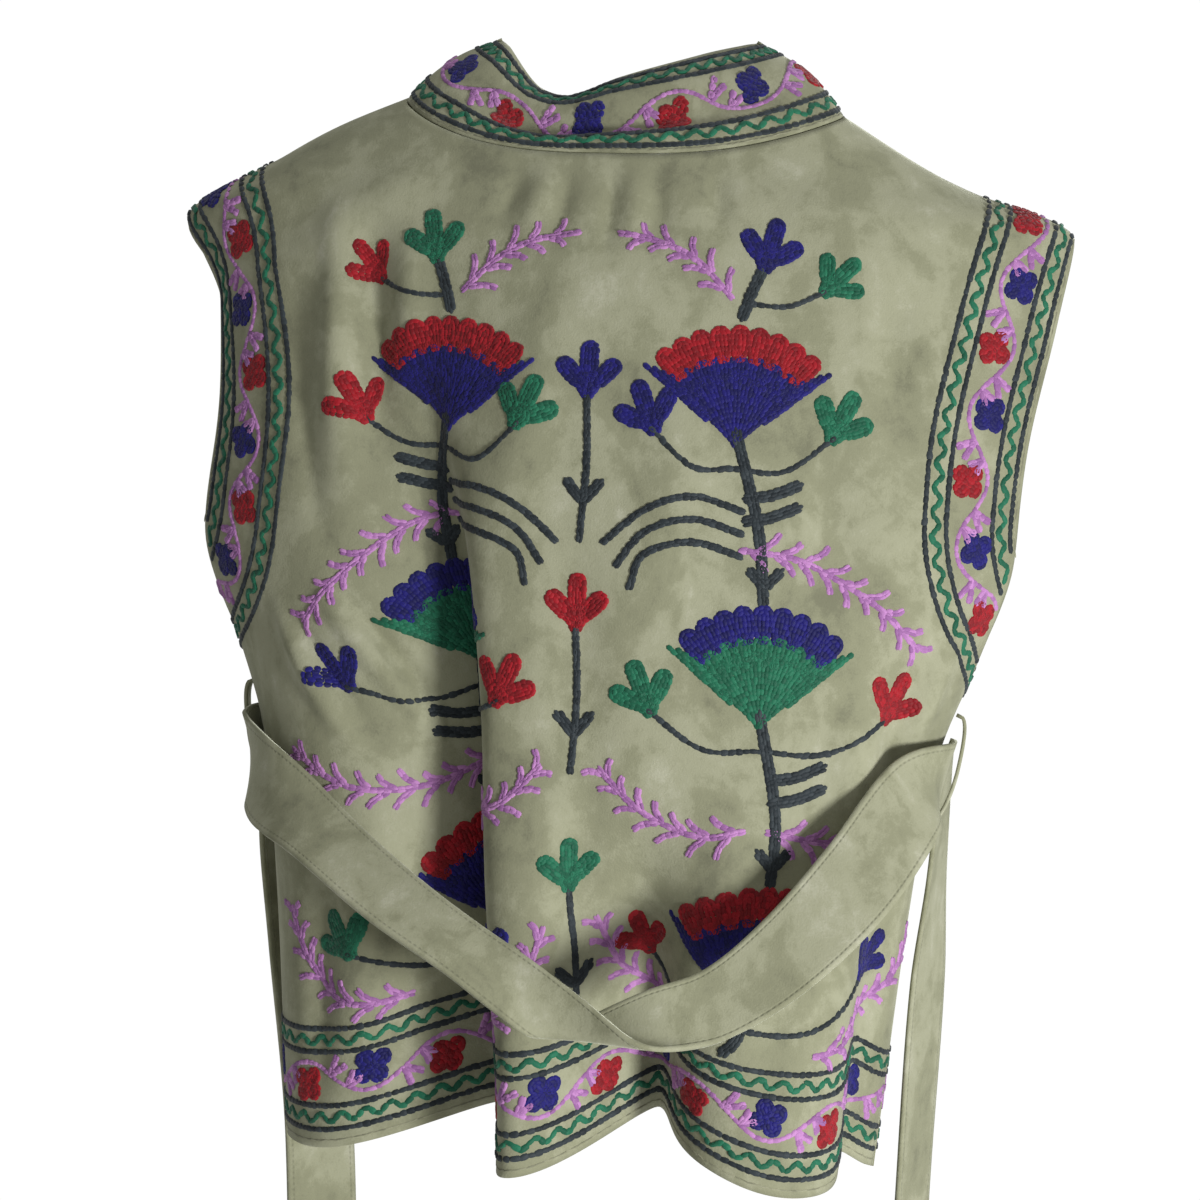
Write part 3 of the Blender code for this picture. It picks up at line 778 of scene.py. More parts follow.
# Turns what lies below the fold line round a small curve and up behind it.
def foldedUnder(points):
    radius, level = beltLook["foldRadius"], beltLook["foldHeight"]
    below = np.maximum(level - points[:, 2], 0.0)
    turn = np.minimum(below / radius, math.pi)
    rise = np.maximum(below - math.pi * radius, 0.0)
    height = np.where(below > 0, level - radius * np.sin(turn) + rise, points[:, 2])
    return np.stack([points[:, 0], points[:, 1] + radius * (1 - np.cos(turn)), height], axis=1)


def beltSurface():
    route, distance = beltRoute()
    leftLoop = distance[beltLook["leftLoop"]]
    rightLoop = distance[len(beforeFold) + beltLook["rightLoop"]]
    us = np.linspace(0.0, distance[-1], 901)
    vs = np.linspace(-0.5, 0.5, 29)
    rows = []
    values = alongRoute(route, distance, us)
    edge = unit(values[:, 3:6])
    for v in vs:
        points = values[:, :3] + edge * values[:, 6:7] * v
        turned = points + [0.0, 2 * beltLook["foldRadius"], 0.0]
        turned[:, 2] = openedOut(points[:, 2])
        middle = (us >= leftLoop) & (us < rightLoop)
        beside = np.where((us < leftLoop)[:, None], points, turned)
        points = np.where(middle[:, None], foldedUnder(points), beside)
        rows.append(points)
    return Surface(us, vs * 0.050, np.array(rows), None)


beltTable = beltSurface()
shell(
    "beltCloth",
    beltTable,
    lambda s, t: np.stack([s * beltTable.us[-1], (0.5 - t) * 0.050], axis=1),
    640,
    20,
    beltLook["wall"],
    0.0,
    "belt",
    ["belt"],
    Cut(0.050, beltTable.us[-1], None, "hung", ("beltLoopLeft", "beltLoopRight")),
)

loopLook = {"top": -0.341, "foot": -0.403, "width": 0.008, "wall": 0.002, "bow": 0.0112, "squareness": 0.40}
for hand, name, node in ((-1, "beltLoopLeft", "belt_loop_left"), (1, "beltLoopRight", "belt_loop_right")):
    us, vs = np.linspace(0, 1, 41), np.linspace(-0.5, 0.5, 5)
    heights = loopLook["top"] + (loopLook["foot"] - loopLook["top"]) * us
    clear = garment["wall"] + garment["seamGap"] + loopLook["wall"] / 2
    bow = loopLook["bow"] * np.sin(math.pi * us) ** loopLook["squareness"]
    across = column(rings, "height", "halfWidth", heights) + clear + bow
    loopPoints = np.array(
        [np.stack([hand * across, loopLook["width"] * v + 0 * us, heights], axis=1) for v in vs]
    )
    loopSurface = Surface(us, vs, loopPoints, np.array([hand, 0, 0]))
    shell(
        name,
        loopSurface,
        lambda s, t: np.stack([t, s - 0.5], axis=1),
        4,
        40,
        loopLook["wall"],
        0.0,
        "belt",
        [node],
        Cut(0.010, 0.078, 0.008 * 0.078, "hung", ("backCloth",)),
    )
print("stage: belt and loops hung")

# Embroidery. Every line is a row of chain stitches laid along a path on the flat cut.

threadColours = {
    "slate": ((0.012, 0.018, 0.022), (0.030, 0.040, 0.046)),
    "green": ((0.004, 0.082, 0.042), (0.012, 0.150, 0.078)),
    "blue": ((0.003, 0.003, 0.068), (0.008, 0.006, 0.150)),
    "red": ((0.180, 0.002, 0.006), (0.340, 0.004, 0.012)),
    "lilac": ((0.280, 0.115, 0.300), (0.490, 0.225, 0.500)),
    "sage": ((0.190, 0.190, 0.125), (0.300, 0.300, 0.200)),
}


def threadMaterial(name, dark, light):
    material = bpy.data.materials.new(name + "Thread")
    material.use_nodes = True
    tree = material.node_tree
    shader = tree.nodes["Principled BSDF"]
    # The tone attribute is each stitch's random tone, with painted shade at the hollow middle of each link.
    tone = tree.nodes.new("ShaderNodeAttribute")
    tone.attribute_name = "tone"
    place = tree.nodes.new("ShaderNodeTexCoord")
    fibre = noise(tree, place.outputs["Object"], 1600.0, 1.0, 0.6)
    mixed = maths(tree, "MULTIPLY_ADD", fibre, 0.5, maths(tree, "SUBTRACT", tone.outputs["Fac"], 0.25))
    colour = ramp(tree, mixed, [(0.05, dark), (0.95, light)])
    tree.links.new(colour, shader.inputs["Base Color"])
    bump = tree.nodes.new("ShaderNodeBump")
    bump.inputs["Strength"].default_value = 0.6
    bump.inputs["Distance"].default_value = 0.0003
    tree.links.new(fibre, bump.inputs["Height"])
    tree.links.new(bump.outputs["Normal"], shader.inputs["Normal"])
    shader.inputs["Roughness"].default_value = 0.62
    shader.inputs["Specular IOR Level"].default_value = 0.25
    shader.inputs["Sheen Weight"].default_value = 0.15
    return material


threadFinish = {name: threadMaterial(name, *pair) for name, pair in threadColours.items()}

# surface, how far its outer face lies above it, and how many sides a stitch is given
Ground = namedtuple("Ground", "name surface lift sides")
grounds = {
    "back": Ground("back", surfaces[back], garment["wall"], 8),
    "frontLeft": Ground("frontLeft", surfaces[front], garment["wall"], 6),
    "frontRight": Ground("frontRight", surfaces[front], garment["wall"], 6),
    "collar": Ground("collar", collarSurface, 0.0, 8),
    "bandLeft": Ground("bandLeft", bandSurfaces[-1], 0.0, 6),
    "bandRight": Ground("bandRight", bandSurfaces[1], 0.0, 6),
}
sewn = {}
lineStitch = {"pitch": 0.0040, "width": 0.0036, "rise": 0.0010}
barStitch = {"pitch": 0.0038, "width": 0.0031, "rise": 0.0010}
fineStitch = {"pitch": 0.0034, "width": 0.0029, "rise": 0.0009}
leafStitch = {"pitch": 0.0036, "width": 0.0025, "rise": 0.0009}
fillStitch = {"pitch": 0.0032, "width": 0.0033, "rise": 0.0009}
topStitch = {"pitch": 0.0034, "width": 0.0009, "rise": 0.0003}
rowGap = 0.0021


# A smooth line through a few places.
def smoothPath(points, step=0.0008):
    points = np.asarray(points, float)
    if len(points) == 2:
        fine = points[0] + (points[1] - points[0]) * np.linspace(0, 1, 40)[:, None]
    else:
        grown = np.vstack([2 * points[0] - points[1], points, 2 * points[-1] - points[-2]])
        pieces = []
        t = np.linspace(0, 1, 24, endpoint=False)[:, None]
        for k in range(1, len(grown) - 2):
            a, b, c, d = grown[k - 1 : k + 3]
            pieces.append(
                0.5 * (2 * b + (c - a) * t + (2 * a - 5 * b + 4 * c - d) * t**2 + (3 * b - a - 3 * c + d) * t**3)
            )
        fine = np.vstack([*pieces, points[-1:]])
    lengths = lengthsOf(fine)
    even = np.linspace(0, lengths[-1], max(int(lengths[-1] / step), 2) + 1)
    return np.stack([np.interp(even, lengths, fine[:, k]) for k in range(2)], axis=1)


def sidewaysOf(path):
    way = unit(np.gradient(path, axis=0))
    return np.stack([-way[:, 1], way[:, 0]], axis=1)


def keep(ground, colour, places, ways, lengths, kind):
    if len(places):
        width, rise = (np.full(len(places), kind[key]) for key in ("width", "rise"))
        size = np.stack([lengths, width, rise], axis=1)
        sewn.setdefault((ground, colour), []).append(np.hstack([places, ways, size]))


# One row of chain stitches along a path.
def sew(ground, colour, path, kind=lineStitch):
    lengths = lengthsOf(path)
    count = max(int(round(lengths[-1] / kind["pitch"])), 1)
    at = (np.arange(count) + 0.5) * lengths[-1] / count
    places = np.stack([np.interp(at, lengths, path[:, k]) for k in range(2)], axis=1)
    ahead = np.stack([np.interp(at + 0.0008, lengths, path[:, k]) for k in range(2)], axis=1)
    behind = np.stack([np.interp(at - 0.0008, lengths, path[:, k]) for k in range(2)], axis=1)
    keep(ground, colour, places, unit(ahead - behind + 1e-12), np.full(count, lengths[-1] / count), kind)


# A thick stem: rows of stitches side by side, the outer ones a little shorter.
def bar(ground, colour, points, rows=3, gap=0.0019, kind=barStitch):
    path = smoothPath(points)
    beside = sidewaysOf(path)
    for k in range(rows):
        shift = (k - (rows - 1) / 2) * gap
        trim = int(round(abs(shift) / gap * 2))
        kept = slice(trim, len(path) - trim)
        if len(path[kept]) > 3:
            sew(ground, colour, (path + beside * shift)[kept], kind)


def stem(ground, colour, points):
    sew(ground, colour, smoothPath(points))


# Rows of stitches that point away from an origin, between two edges given by angle. The rows
# thin out towards the origin so that they stay as far apart.
def radialRows(ground, colour, origin, axis, start, end, low, high, reach):
    rings = [0.0]
    while rings[-1] < reach:
        rings.append(0.0065 if rings[-1] == 0 else rings[-1] * 1.55)
    places, ways, lengths = [], [], []
    for inner, outer in zip(rings[:-1], rings[1:]):
        middle = (inner + min(outer, reach)) / 2
        count = max(int(round((high - low) * middle / rowGap)), 1)
        for angle in low + (np.arange(count) + 0.5) * (high - low) / count:
            first, last = max(start(angle), inner), min(end(angle), outer)
            if last - first < 0.0011:
                continue
            many = max(int(round((last - first) / fillStitch["pitch"])), 1)
            out = first + (np.arange(many) + 0.5) * (last - first) / many
            way = np.array([math.cos(axis + angle), math.sin(axis + angle)])
            places.append(np.asarray(origin) + out[:, None] * way)
            ways.append(np.tile(way, (many, 1)))
            lengths.append(np.full(many, (last - first) / many))
    if places:
        keep(ground, colour, np.vstack(places), np.vstack(ways), np.concatenate(lengths), fillStitch)


# A round-ended finger: stitches follow its outline and then turn inside one another.
def petal(ground, colour, foot, axis, length, width):
    ahead = np.array([math.cos(axis), math.sin(axis)])
    beside = np.array([-ahead[1], ahead[0]])
    rows = max(int(round(width / rowGap)), 2)
    gap = width / rows
    straight = max(length - width / 2, 0.001)

    def lay(off):
        t = np.linspace(0.0, straight, 10)
        swell = off * (0.45 + 0.55 * eased(t / (0.5 * length)))
        around = np.linspace(math.pi / 2, -math.pi / 2, 11)
        x = np.concatenate([t[:-1], straight + off * np.cos(around), t[:-1][::-1]])
        y = np.concatenate([swell[:-1], off * np.sin(around), -swell[:-1][::-1]])
        sew(ground, colour, np.asarray(foot) + x[:, None] * ahead + y[:, None] * beside, fillStitch)

    for k in range(rows // 2):
        lay(width / 2 - gap * (k + 0.5))
    if rows % 2:
        end = np.asarray(foot) + (straight + gap * 0.2) * ahead
        sew(ground, colour, smoothPath([foot, end]), fillStitch)


# Four round petals.
def borderFlower(ground, colour, centre, turn, size=0.0108):
    for k in range(4):
        way = turn + math.pi / 4 + k * math.pi / 2
        petal(ground, colour, np.asarray(centre), way, size * chance.uniform(0.94, 1.05), size * 0.90)


# A flower of three fingers on the end of a stem.
def tulip(ground, colour, base, axis, reach=0.026):
    base = np.asarray(base)
    ahead = np.array([math.cos(axis), math.sin(axis)])
    petal(ground, colour, base - 0.008 * ahead, axis, reach * 0.52, reach * 0.46)
    for turn, size in ((-0.78, 0.84), (0.0, 1.0), (0.78, 0.84)):
        way = axis + turn
        foot = base - 0.004 * ahead + 0.001 * np.array([math.cos(way), math.sin(way)])
        petal(ground, colour, foot, way, reach * size, reach * 0.37)


# A scalloped rim over a scalloped body whose two wings run out to points. hollow draws the
# middle of both in towards the apex.
def fan(ground, rim, body, apex, axis, reach, span, hollow=0.0, scallops=9):
    shown = span * 0.90

    def far(angle):
        return reach * (1 - hollow * (1 - min(abs(angle) / span, 1.0) ** 2))

    def lobes(colour, count, width, start, end):
        for k in range(count):
            angle = -width + (k + 0.5) * 2 * width / count
            way = axis + angle
            size = far(angle)
            foot = np.asarray(apex) + np.array([math.cos(way), math.sin(way)]) * size * start
            broad = 2 * width / count * size * (0.1 + 0.85 * end)
            petal(ground, colour, foot, way, size * (end - start), broad)

    edge = span * 0.94
    radialRows(ground, body, apex, axis, lambda angle: 0.0, lambda angle: far(angle) * 0.62, -edge, edge, reach)
    lobes(rim, scallops, shown, 0.69, 1.0)
    lobes(body, scallops - 2, shown * 0.95, 0.50, 0.755)
    for hand in (-1, 1):
        for k in range(4):
            turn = axis + hand * (span - 0.035 * k)
            way = np.array([math.cos(turn), math.sin(turn)])
            tip = np.asarray(apex) + way * reach * (0.99 - 0.07 * k)
            sew(ground, body, smoothPath([np.asarray(apex) + way * reach * 0.30, tip]), fillStitch)


# A stalk with leaflets on both sides that lean towards its tip, the last of the places.
def spray(ground, points, leaflet=0.0165, spacing=0.0132, start=0.08, colour="lilac"):
    path = smoothPath(points)
    bar(ground, colour, points, 2, 0.0014, leafStitch)
    lengths = lengthsOf(path)
    way = unit(np.gradient(path, axis=0))
    count = max(int(round(lengths[-1] * (1 - start) / spacing)), 2)
    for k in range(count):
        for hand in (-1, 1):
            at = lengths[-1] * start + (k + 0.22 * (hand > 0)) * spacing
            here = min(int(np.searchsorted(lengths, at)), len(path) - 1)
            size = leaflet * (1.0 - 0.28 * k / count) * chance.uniform(0.86, 1.12)
            turn = math.radians(44) * hand + chance.uniform(-0.12, 0.12)
            aim = np.array(
                [
                    way[here, 0] * math.cos(turn) - way[here, 1] * math.sin(turn),
                    way[here, 0] * math.sin(turn) + way[here, 1] * math.cos(turn),
                ]
            )
            bend = np.array([-aim[1], aim[0]]) * 0.0014 * -hand
            foot = path[here]
            leaf = [foot + aim * 0.001, foot + aim * size * 0.6 + bend, foot + aim * size]
            bar(ground, colour, leaf, 2, 0.0015, leafStitch)


def leafPair(ground, colour, foot, axis, size=0.011, opening=42):
    for hand in (-1, 1):
        turn = axis + math.radians(opening) * hand
        aim = np.array([math.cos(turn), math.sin(turn)])
        bar(ground, colour, [np.asarray(foot), np.asarray(foot) + aim * size], 3, 0.0017)


# Borders run beside an edge: (distance in from the edge) to a path on the flat cut.
borderRows = {
    "armhole": {"lines": (0.006, 0.0190, 0.0485, 0.0615), "waves": (0.0125, 0.0550), "vine": 0.0338},
    "hem": {"lines": (0.010, 0.0230, 0.0530, 0.0660), "waves": (0.0165, 0.0595), "vine": 0.0380},
    "band": {"lines": (0.0045, 0.0155, 0.0495, 0.0605), "waves": (0.0100, 0.0550), "vine": 0.0325},
}
wave = {"length": 0.0135, "swing": 0.0021}
vine = {"swing": 0.0090, "flowerOffset": 0.0035, "leaf": 0.0125}


# Two sets of stripes with a flowering vine between them. flowers says how far along the vine's
# middle line each flower is, given that line.
def border(ground, pathAt, rows, flowers, firstColour, inside=None):

    def clipped(path):
        if inside is None:
            return [path]
        good = inside(path)
        cuts = np.flatnonzero(np.diff(good.astype(int))) + 1
        return [run for run, ok in zip(np.split(path, cuts), np.split(good, cuts)) if ok[0] and len(run) > 4]

    for distance in rows["lines"]:
        for run in clipped(pathAt(distance)):
            sew(ground, "slate", run)
    for distance in rows["waves"]:
        path = pathAt(distance)
        swing = wave["swing"] * np.sin(lengthsOf(path) * 2 * math.pi / wave["length"])
        for run in clipped(path + sidewaysOf(path) * swing[:, None]):
            sew(ground, "green", run)
    path = pathAt(rows["vine"])
    beside = sidewaysOf(path)
    lengths = lengthsOf(path)
    places = np.asarray(flowers(path, lengths), float)
    gap = np.diff(places).mean()
    known = np.concatenate([[places[0] - gap], places, [places[-1] + gap]])
    turn = np.interp(lengths, known, np.arange(-1, len(places) + 1)) * math.pi
    line = path - beside * (vine["swing"] * np.cos(turn))[:, None]
    for run in clipped(line):
        sew(ground, "lilac", run, fineStitch)
    colours = ("blue", "red") if firstColour == "blue" else ("red", "blue")
    for k, at in enumerate(known[:-1], -1):
        side = 1 if k % 2 == 0 else -1
        if k >= 0 and 0 < at < lengths[-1]:
            here = int(np.searchsorted(lengths, at))
            centre = path[here] + beside[here] * vine["flowerOffset"] * side
            if inside is None or inside(centre[None])[0]:
                borderFlower(ground, colours[k % 2], centre, chance.uniform(-0.3, 0.3))
        for share, reach in ((0.42, 1.0), (0.66, 0.8)):
            there = at + share * gap
            if not 0.006 < there < lengths[-1] - 0.006:
                continue
            here = int(np.searchsorted(lengths, there))
            way = unit(path[min(here + 2, len(path) - 1)] - path[here - 2])
            if inside is None or inside(line[here][None])[0]:
                for aim, lean in ((0.9, 0.45), (0.45, 1.0)):
                    tip = line[here] + vine["leaf"] * reach * unit(way * aim - beside[here] * side * lean)
                    bar(ground, "lilac", [line[here], tip], 2, 0.0014)


def spaced(first, gap):
    return lambda path, lengths: np.arange(first, lengths[-1], gap)


borderFoot = {back: -0.236, front: -0.240}


# The armhole's edge for the border to follow; under the arm the border swings out to the side seam.
def armholePath(side, hand):
    heights = garment["shoulderTip"] + (borderFoot[side] - garment["shoulderTip"]) * np.sin(
        np.linspace(0, math.pi / 2, 160)
    )
    edge = outerEdge(side, heights, hand)
    lengths = lengthsOf(edge)
    even = np.linspace(0, lengths[-1], 150)
    edge = np.stack([np.interp(even, lengths, edge[:, k]) for k in range(2)], axis=1)
    upward = (edge[0] - edge[6]) / np.linalg.norm(edge[0] - edge[6])
    head = edge[0] + upward * np.linspace(0.05, 0.001, 26)[:, None]
    foot = [edge[-1]]
    turn = math.atan2(*(edge[-1] - edge[-6])[::-1])
    for k in range(46):
        turn += hand * 0.052 * (k < 22)
        foot.append(foot[-1] + 0.0019 * np.array([math.cos(turn), math.sin(turn)]))
    whole = np.vstack([head, edge, foot[1:]])
    weights = np.ones(9) / 9
    padded = np.vstack([np.repeat(whole[:1], 4, 0), whole, np.repeat(whole[-1:], 4, 0)])
    whole = np.stack([np.convolve(padded[:, k], weights, "valid") for k in range(2)], axis=1)
    way = unit(np.gradient(whole, axis=0))
    inward = np.stack([way[:, 1], -way[:, 0]], axis=1) * hand

    def pathAt(distance):
        return smoothPath((whole + inward * distance)[::4])

    def inside(path):
        limit = np.abs(seamAt(side, path[:, 1], hand))
        low = np.clip(path[:, 1], garment["underarm"], garment["shoulderTip"])
        beside = np.where(path[:, 1] > garment["underarm"], np.abs(outerEdge(side, low, hand)[:, 0]), limit)
        return (path[:, 0] * hand < np.minimum(limit, beside) - 0.0035) & (path[:, 1] > garment["hem"] + 0.07)

    return pathAt, inside


def hemPath(start, end):
    def pathAt(distance):
        height = garment["hem"] + distance
        left, right = start(height), end(height)
        return smoothPath([[left, height], [(left + right) / 2, height], [right, height]])

    return pathAt


flowerGap = {"armhole": 0.038, "hem": 0.041, "collar": 0.050, "band": 0.043}
for hand in (-1, 1):
    pathAt, inside = armholePath(back, hand)
    flowers = spaced(0.020, flowerGap["armhole"])
    border("back", pathAt, borderRows["armhole"], flowers, "red" if hand < 0 else "blue", inside)
    sew("back", "sage", pathAt(0.0025)[40:-90], topStitch)
border(
    "back",
    hemPath(lambda h: seamAt(back, h, -1) + 0.004, lambda h: seamAt(back, h, 1) - 0.004),
    borderRows["hem"],
    spaced(0.020, flowerGap["hem"]),
    "blue",
)
hemFoot = hemPath(lambda h: seamAt(back, h, -1) + 0.003, lambda h: seamAt(back, h, 1) - 0.003)
sew("back", "sage", hemFoot(0.004), topStitch)
for hand, ground in ((-1, "frontLeft"), (1, "frontRight")):
    pathAt, inside = armholePath(front, hand)
    border(ground, pathAt, borderRows["armhole"], spaced(0.020, flowerGap["armhole"]), "blue", inside)
    border(
        ground,
        hemPath(lambda h: hand * (frontEdge(h) + 0.003), lambda h: seamAt(front, h, hand) - hand * 0.004),
        borderRows["hem"],
        spaced(0.020, flowerGap["hem"]),
        "red",
    )


def alongStrip(surface):
    def pathAt(distance):
        length = surface.us[-1]
        return smoothPath([[0.002, distance], [length / 2, distance], [length - 0.002, distance]])

    return pathAt


border("collar", alongStrip(collarSurface), borderRows["band"], spaced(0.030, flowerGap["collar"]), "blue")
border("bandLeft", alongStrip(bandSurfaces[-1]), borderRows["band"], spaced(0.025, flowerGap["band"]), "red")
border("bandRight", alongStrip(bandSurfaces[1]), borderRows["band"], spaced(0.025, flowerGap["band"]), "red")
sew("collar", "sage", alongStrip(collarSurface)(0.0018), topStitch)
print("stage: borders sewn")


# An angle drawn for the right half, turned over for the left.
def angleOf(degrees, hand):
    turn = math.radians(degrees)
    return turn if hand > 0 else math.pi - turn


def mirrored(points, hand):
    return [np.array([hand * x, y]) for x, y in points]


# The figured field of the back. A main stem climbs each half from the hem border and carries a fan at every
# level, from the shoulders down. outward and inward are how far the flowers beside the fan stand from it.
fieldLevels = (
    {"apex": -0.200, "across": 0.080, "outward": 0.055, "inward": 0.045, "rim": "red", "body": "blue"},
    {"apex": -0.350, "across": 0.100, "outward": 0.075, "inward": 0.060, "rim": "blue", "body": "green"},
    {"apex": -0.500, "across": 0.110, "outward": 0.085, "inward": 0.065, "rim": "red", "body": "blue"},
)
field = {"foot": -0.530, "fanReach": 0.066, "fanOpening": 50, "branchDrop": 0.012, "barDrop": 0.028}
# Sprays of the right half, from stalk to tip, in steps of 5 mm.
fieldSprays = (
    ((0.075, -0.120), (0.055, -0.100), (0.035, -0.090), (0.010, -0.085)),
    ((0.085, -0.255), (0.120, -0.260), (0.160, -0.280), (0.190, -0.305)),
    ((0.105, -0.405), (0.145, -0.410), (0.185, -0.400), (0.220, -0.375)),
    ((0.095, -0.405), (0.070, -0.410), (0.040, -0.400), (0.015, -0.375)),
    ((0.160, -0.525), (0.195, -0.520), (0.220, -0.500), (0.235, -0.465)),
    ((0.080, -0.525), (0.055, -0.520), (0.030, -0.500), (0.015, -0.465)),
)


def halfField(ground, hand, colours):
    def at(*points):
        return mirrored(points, hand)

    def one(x, y):
        return np.array([hand * x, y])

    for k, level in enumerate(fieldLevels):
        x, apex = level["across"], level["apex"]
        below = fieldLevels[min(k + 1, len(fieldLevels) - 1)]["across"]
        foot = max(apex - 0.085, field["foot"])
        opening = math.radians(field["fanOpening"])
        fan(ground, level["rim"], level["body"], one(x, apex), angleOf(90, hand), field["fanReach"], opening)
        middle = ((x + below) / 2 + 0.005, (apex + foot) / 2)
        bar(ground, "slate", at((x, apex + 0.010), middle, (below, foot)))
        fork = apex - field["branchDrop"]
        for way, reach, lean in ((1, level["outward"], 65), (-1, level["inward"], 112)):
            end = x + way * reach
            stem(ground, "slate", at((x, fork), ((x + end) / 2, fork), (end, apex + 0.008)))
            colour = colours[(k + (way > 0)) % len(colours)]
            tulip(ground, colour, one(end, apex + 0.012), angleOf(lean, hand))
        if foot > field["foot"]:
            for step in range(2):
                low = apex - field["barDrop"] - 0.012 * step
                bar(ground, "slate", at((x + 0.006, low), (x + 0.022, low + 0.003), (x + 0.038, low + 0.010)))
            leafPair(ground, "slate", one(below, foot + 0.010), angleOf(90, hand), 0.014, 42)
    # Three arcs side by side reach from the main stem to the middle.
    for k in range(3):
        drop = 0.012 * k
        inner = (0.012 + 0.008 * k, -0.255 - drop)
        arc = [(0.088, -0.235 - drop), (0.060, -0.228 - drop), (0.035, -0.236 - drop), inner]
        bar(ground, "slate", at(*arc), 2, 0.0014)
    top = fieldLevels[0]["across"]
    bar(ground, "slate", at((top, -0.132), (top + 0.004, -0.118), (top + 0.010, -0.102)))
    tulip(ground, colours[0], one(top + 0.012, -0.096), angleOf(78, hand))
    stem(ground, "slate", at((top + 0.004, -0.122), (top + 0.025, -0.122), (top + 0.045, -0.112)))
    tulip(ground, colours[1], one(top + 0.048, -0.108), angleOf(48, hand), 0.023)
    for points in fieldSprays:
        spray(ground, at(*points), start=0.05)


halfField("back", -1, ("green", "red", "blue"))
halfField("back", 1, ("blue", "green", "red"))
# The middle column: upright flowers with leaves on their stems.
for foot, colour in ((-0.255, "blue"), (-0.380, "red"), (-0.525, "green")):
    bar("back", "slate", [(0.0, foot), (0.002, foot + 0.040), (0.0, foot + 0.080)], 2, 0.0014)
    tulip("back", colour, (0.0, foot + 0.086), math.radians(90))
    leafPair("back", "slate", (0.001, foot + 0.022), math.radians(90), 0.016, 40)


def frontField(ground, hand):
    def at(*points):
        return mirrored(points, hand)

    def one(x, y):
        return np.array([hand * x, y])

    bar(ground, "slate", at((0.165, -0.165), (0.158, -0.215), (0.150, -0.262)))
    fan(ground, "red", "blue", one(0.140, -0.325), angleOf(84, hand), 0.064, math.radians(52))
    bar(ground, "slate", at((0.140, -0.320), (0.142, -0.360), (0.148, -0.400)))
    bar(ground, "slate", at((0.142, -0.340), (0.165, -0.335), (0.190, -0.322)))
    stem(ground, "slate", at((0.143, -0.365), (0.125, -0.360), (0.108, -0.352)))
    tulip(ground, "green", one(0.106, -0.351), angleOf(150, hand))
    fan(ground, "blue", "green", one(0.168, -0.458), angleOf(125, hand), 0.062, math.radians(58))
    bar(ground, "slate", at((0.168, -0.452), (0.160, -0.490), (0.155, -0.528)))
    tulip(ground, "red", one(0.110, -0.478), angleOf(95, hand))
    stem(ground, "slate", at((0.110, -0.482), (0.116, -0.506), (0.120, -0.528)))
    spray(ground, at((0.150, -0.262), (0.135, -0.240), (0.128, -0.215)))
    spray(ground, at((0.150, -0.405), (0.120, -0.400), (0.092, -0.410)))
    spray(ground, at((0.178, -0.528), (0.205, -0.500), (0.215, -0.460)))
    spray(ground, at((0.178, -0.290), (0.196, -0.350), (0.210, -0.400)))


frontField("frontLeft", -1)
frontField("frontRight", 1)
print("stage: figures sewn")


# One link of a chain stitch: a raised ring, narrower at its start, with a hollow middle.
def stitchForm(sides):
    angle = np.arange(sides) * 2 * math.pi / sides
    taper = 1.0 + 0.10 * np.cos(angle)
    rim = np.stack([np.cos(angle) * 0.74, np.sin(angle) * 0.52 * taper, 0.9 * np.cos(angle) ** 2 - 0.4], axis=1)
    crest = np.stack([np.cos(angle) * 0.52, np.sin(angle) * 0.33 * taper, np.full(sides, 1.0)], axis=1)
    points = np.vstack([rim, crest, [[0.03, 0.0, 0.70]]])
    nextOne = (np.arange(sides) + 1) % sides
    k = np.arange(sides)
    quads = [[k, nextOne, nextOne + sides], [k, nextOne + sides, k + sides]]
    faces = [np.stack(q, axis=1) for q in quads]
    faces.append(np.stack([k + sides, nextOne + sides, np.full(sides, 2 * sides)], axis=1))
    return points, np.vstack(faces)


def threadMesh(ground, colour, rows):
    place = grounds[ground]
    rows = np.vstack(rows)
    flat, ways, size = rows[:, :2], rows[:, 2:4], rows[:, 4:7]
    points, normals = place.surface.hang(flat)
    ahead, _ = place.surface.hang(flat + ways * 0.0006)
    behind, _ = place.surface.hang(flat - ways * 0.0006)
    tangent = unit(ahead - behind)
    side = np.cross(normals, tangent)
    form, faces = stitchForm(place.sides)
    count = len(rows)
    vary = 1.0 + 0.10 * chance.standard_normal((count, 3)).clip(-2, 2)
    local = form[None] * (size * vary)[:, None, :]
    turn = 0.10 * chance.standard_normal(count)
    alongWay = tangent + side * turn[:, None]
    sideWay = side - tangent * turn[:, None]
    base = points + normals * place.lift
    made = (
        base[:, None]
        + local[:, :, 0:1] * alongWay[:, None]
        + local[:, :, 1:2] * sideWay[:, None]
        + local[:, :, 2:3] * normals[:, None]
    )
    vertices = made.reshape(-1, 3)
    triangles = (faces[None] + (np.arange(count) * len(form))[:, None, None]).reshape(-1, 3)
    name = ground + colour.capitalize() + "Thread"
    mesh = bpy.data.meshes.new(name)
    mesh.from_pydata(vertices, [], triangles)
    tone = chance.uniform(0.0, 1.0, count)
    # Each stitch has a random tone. The middle point of each link, in its hollow, is lowered by 0.25: painted
    # shade in the hollow.
    hollow = np.where(np.arange(len(form)) == len(form) - 1, -0.25, 0.0)
    values = (tone[:, None] + hollow[None]).astype(np.float32).ravel()
    mesh.attributes.new("tone", "FLOAT", "POINT").data.foreach_set("value", values)
    mesh.materials.append(threadFinish[colour])
    mesh.shade_smooth()
    piece = bpy.data.objects.new(name, mesh)
    bpy.context.scene.collection.objects.link(piece)
    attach(piece, "root")
    print("  ", name, count, "stitches", len(triangles), "triangles")
    return piece


threadPieces = {}
for (ground, colour), rows in sewn.items():
    threadPieces.setdefault(ground, []).append(threadMesh(ground, colour, rows))
print("stage: stitches made")

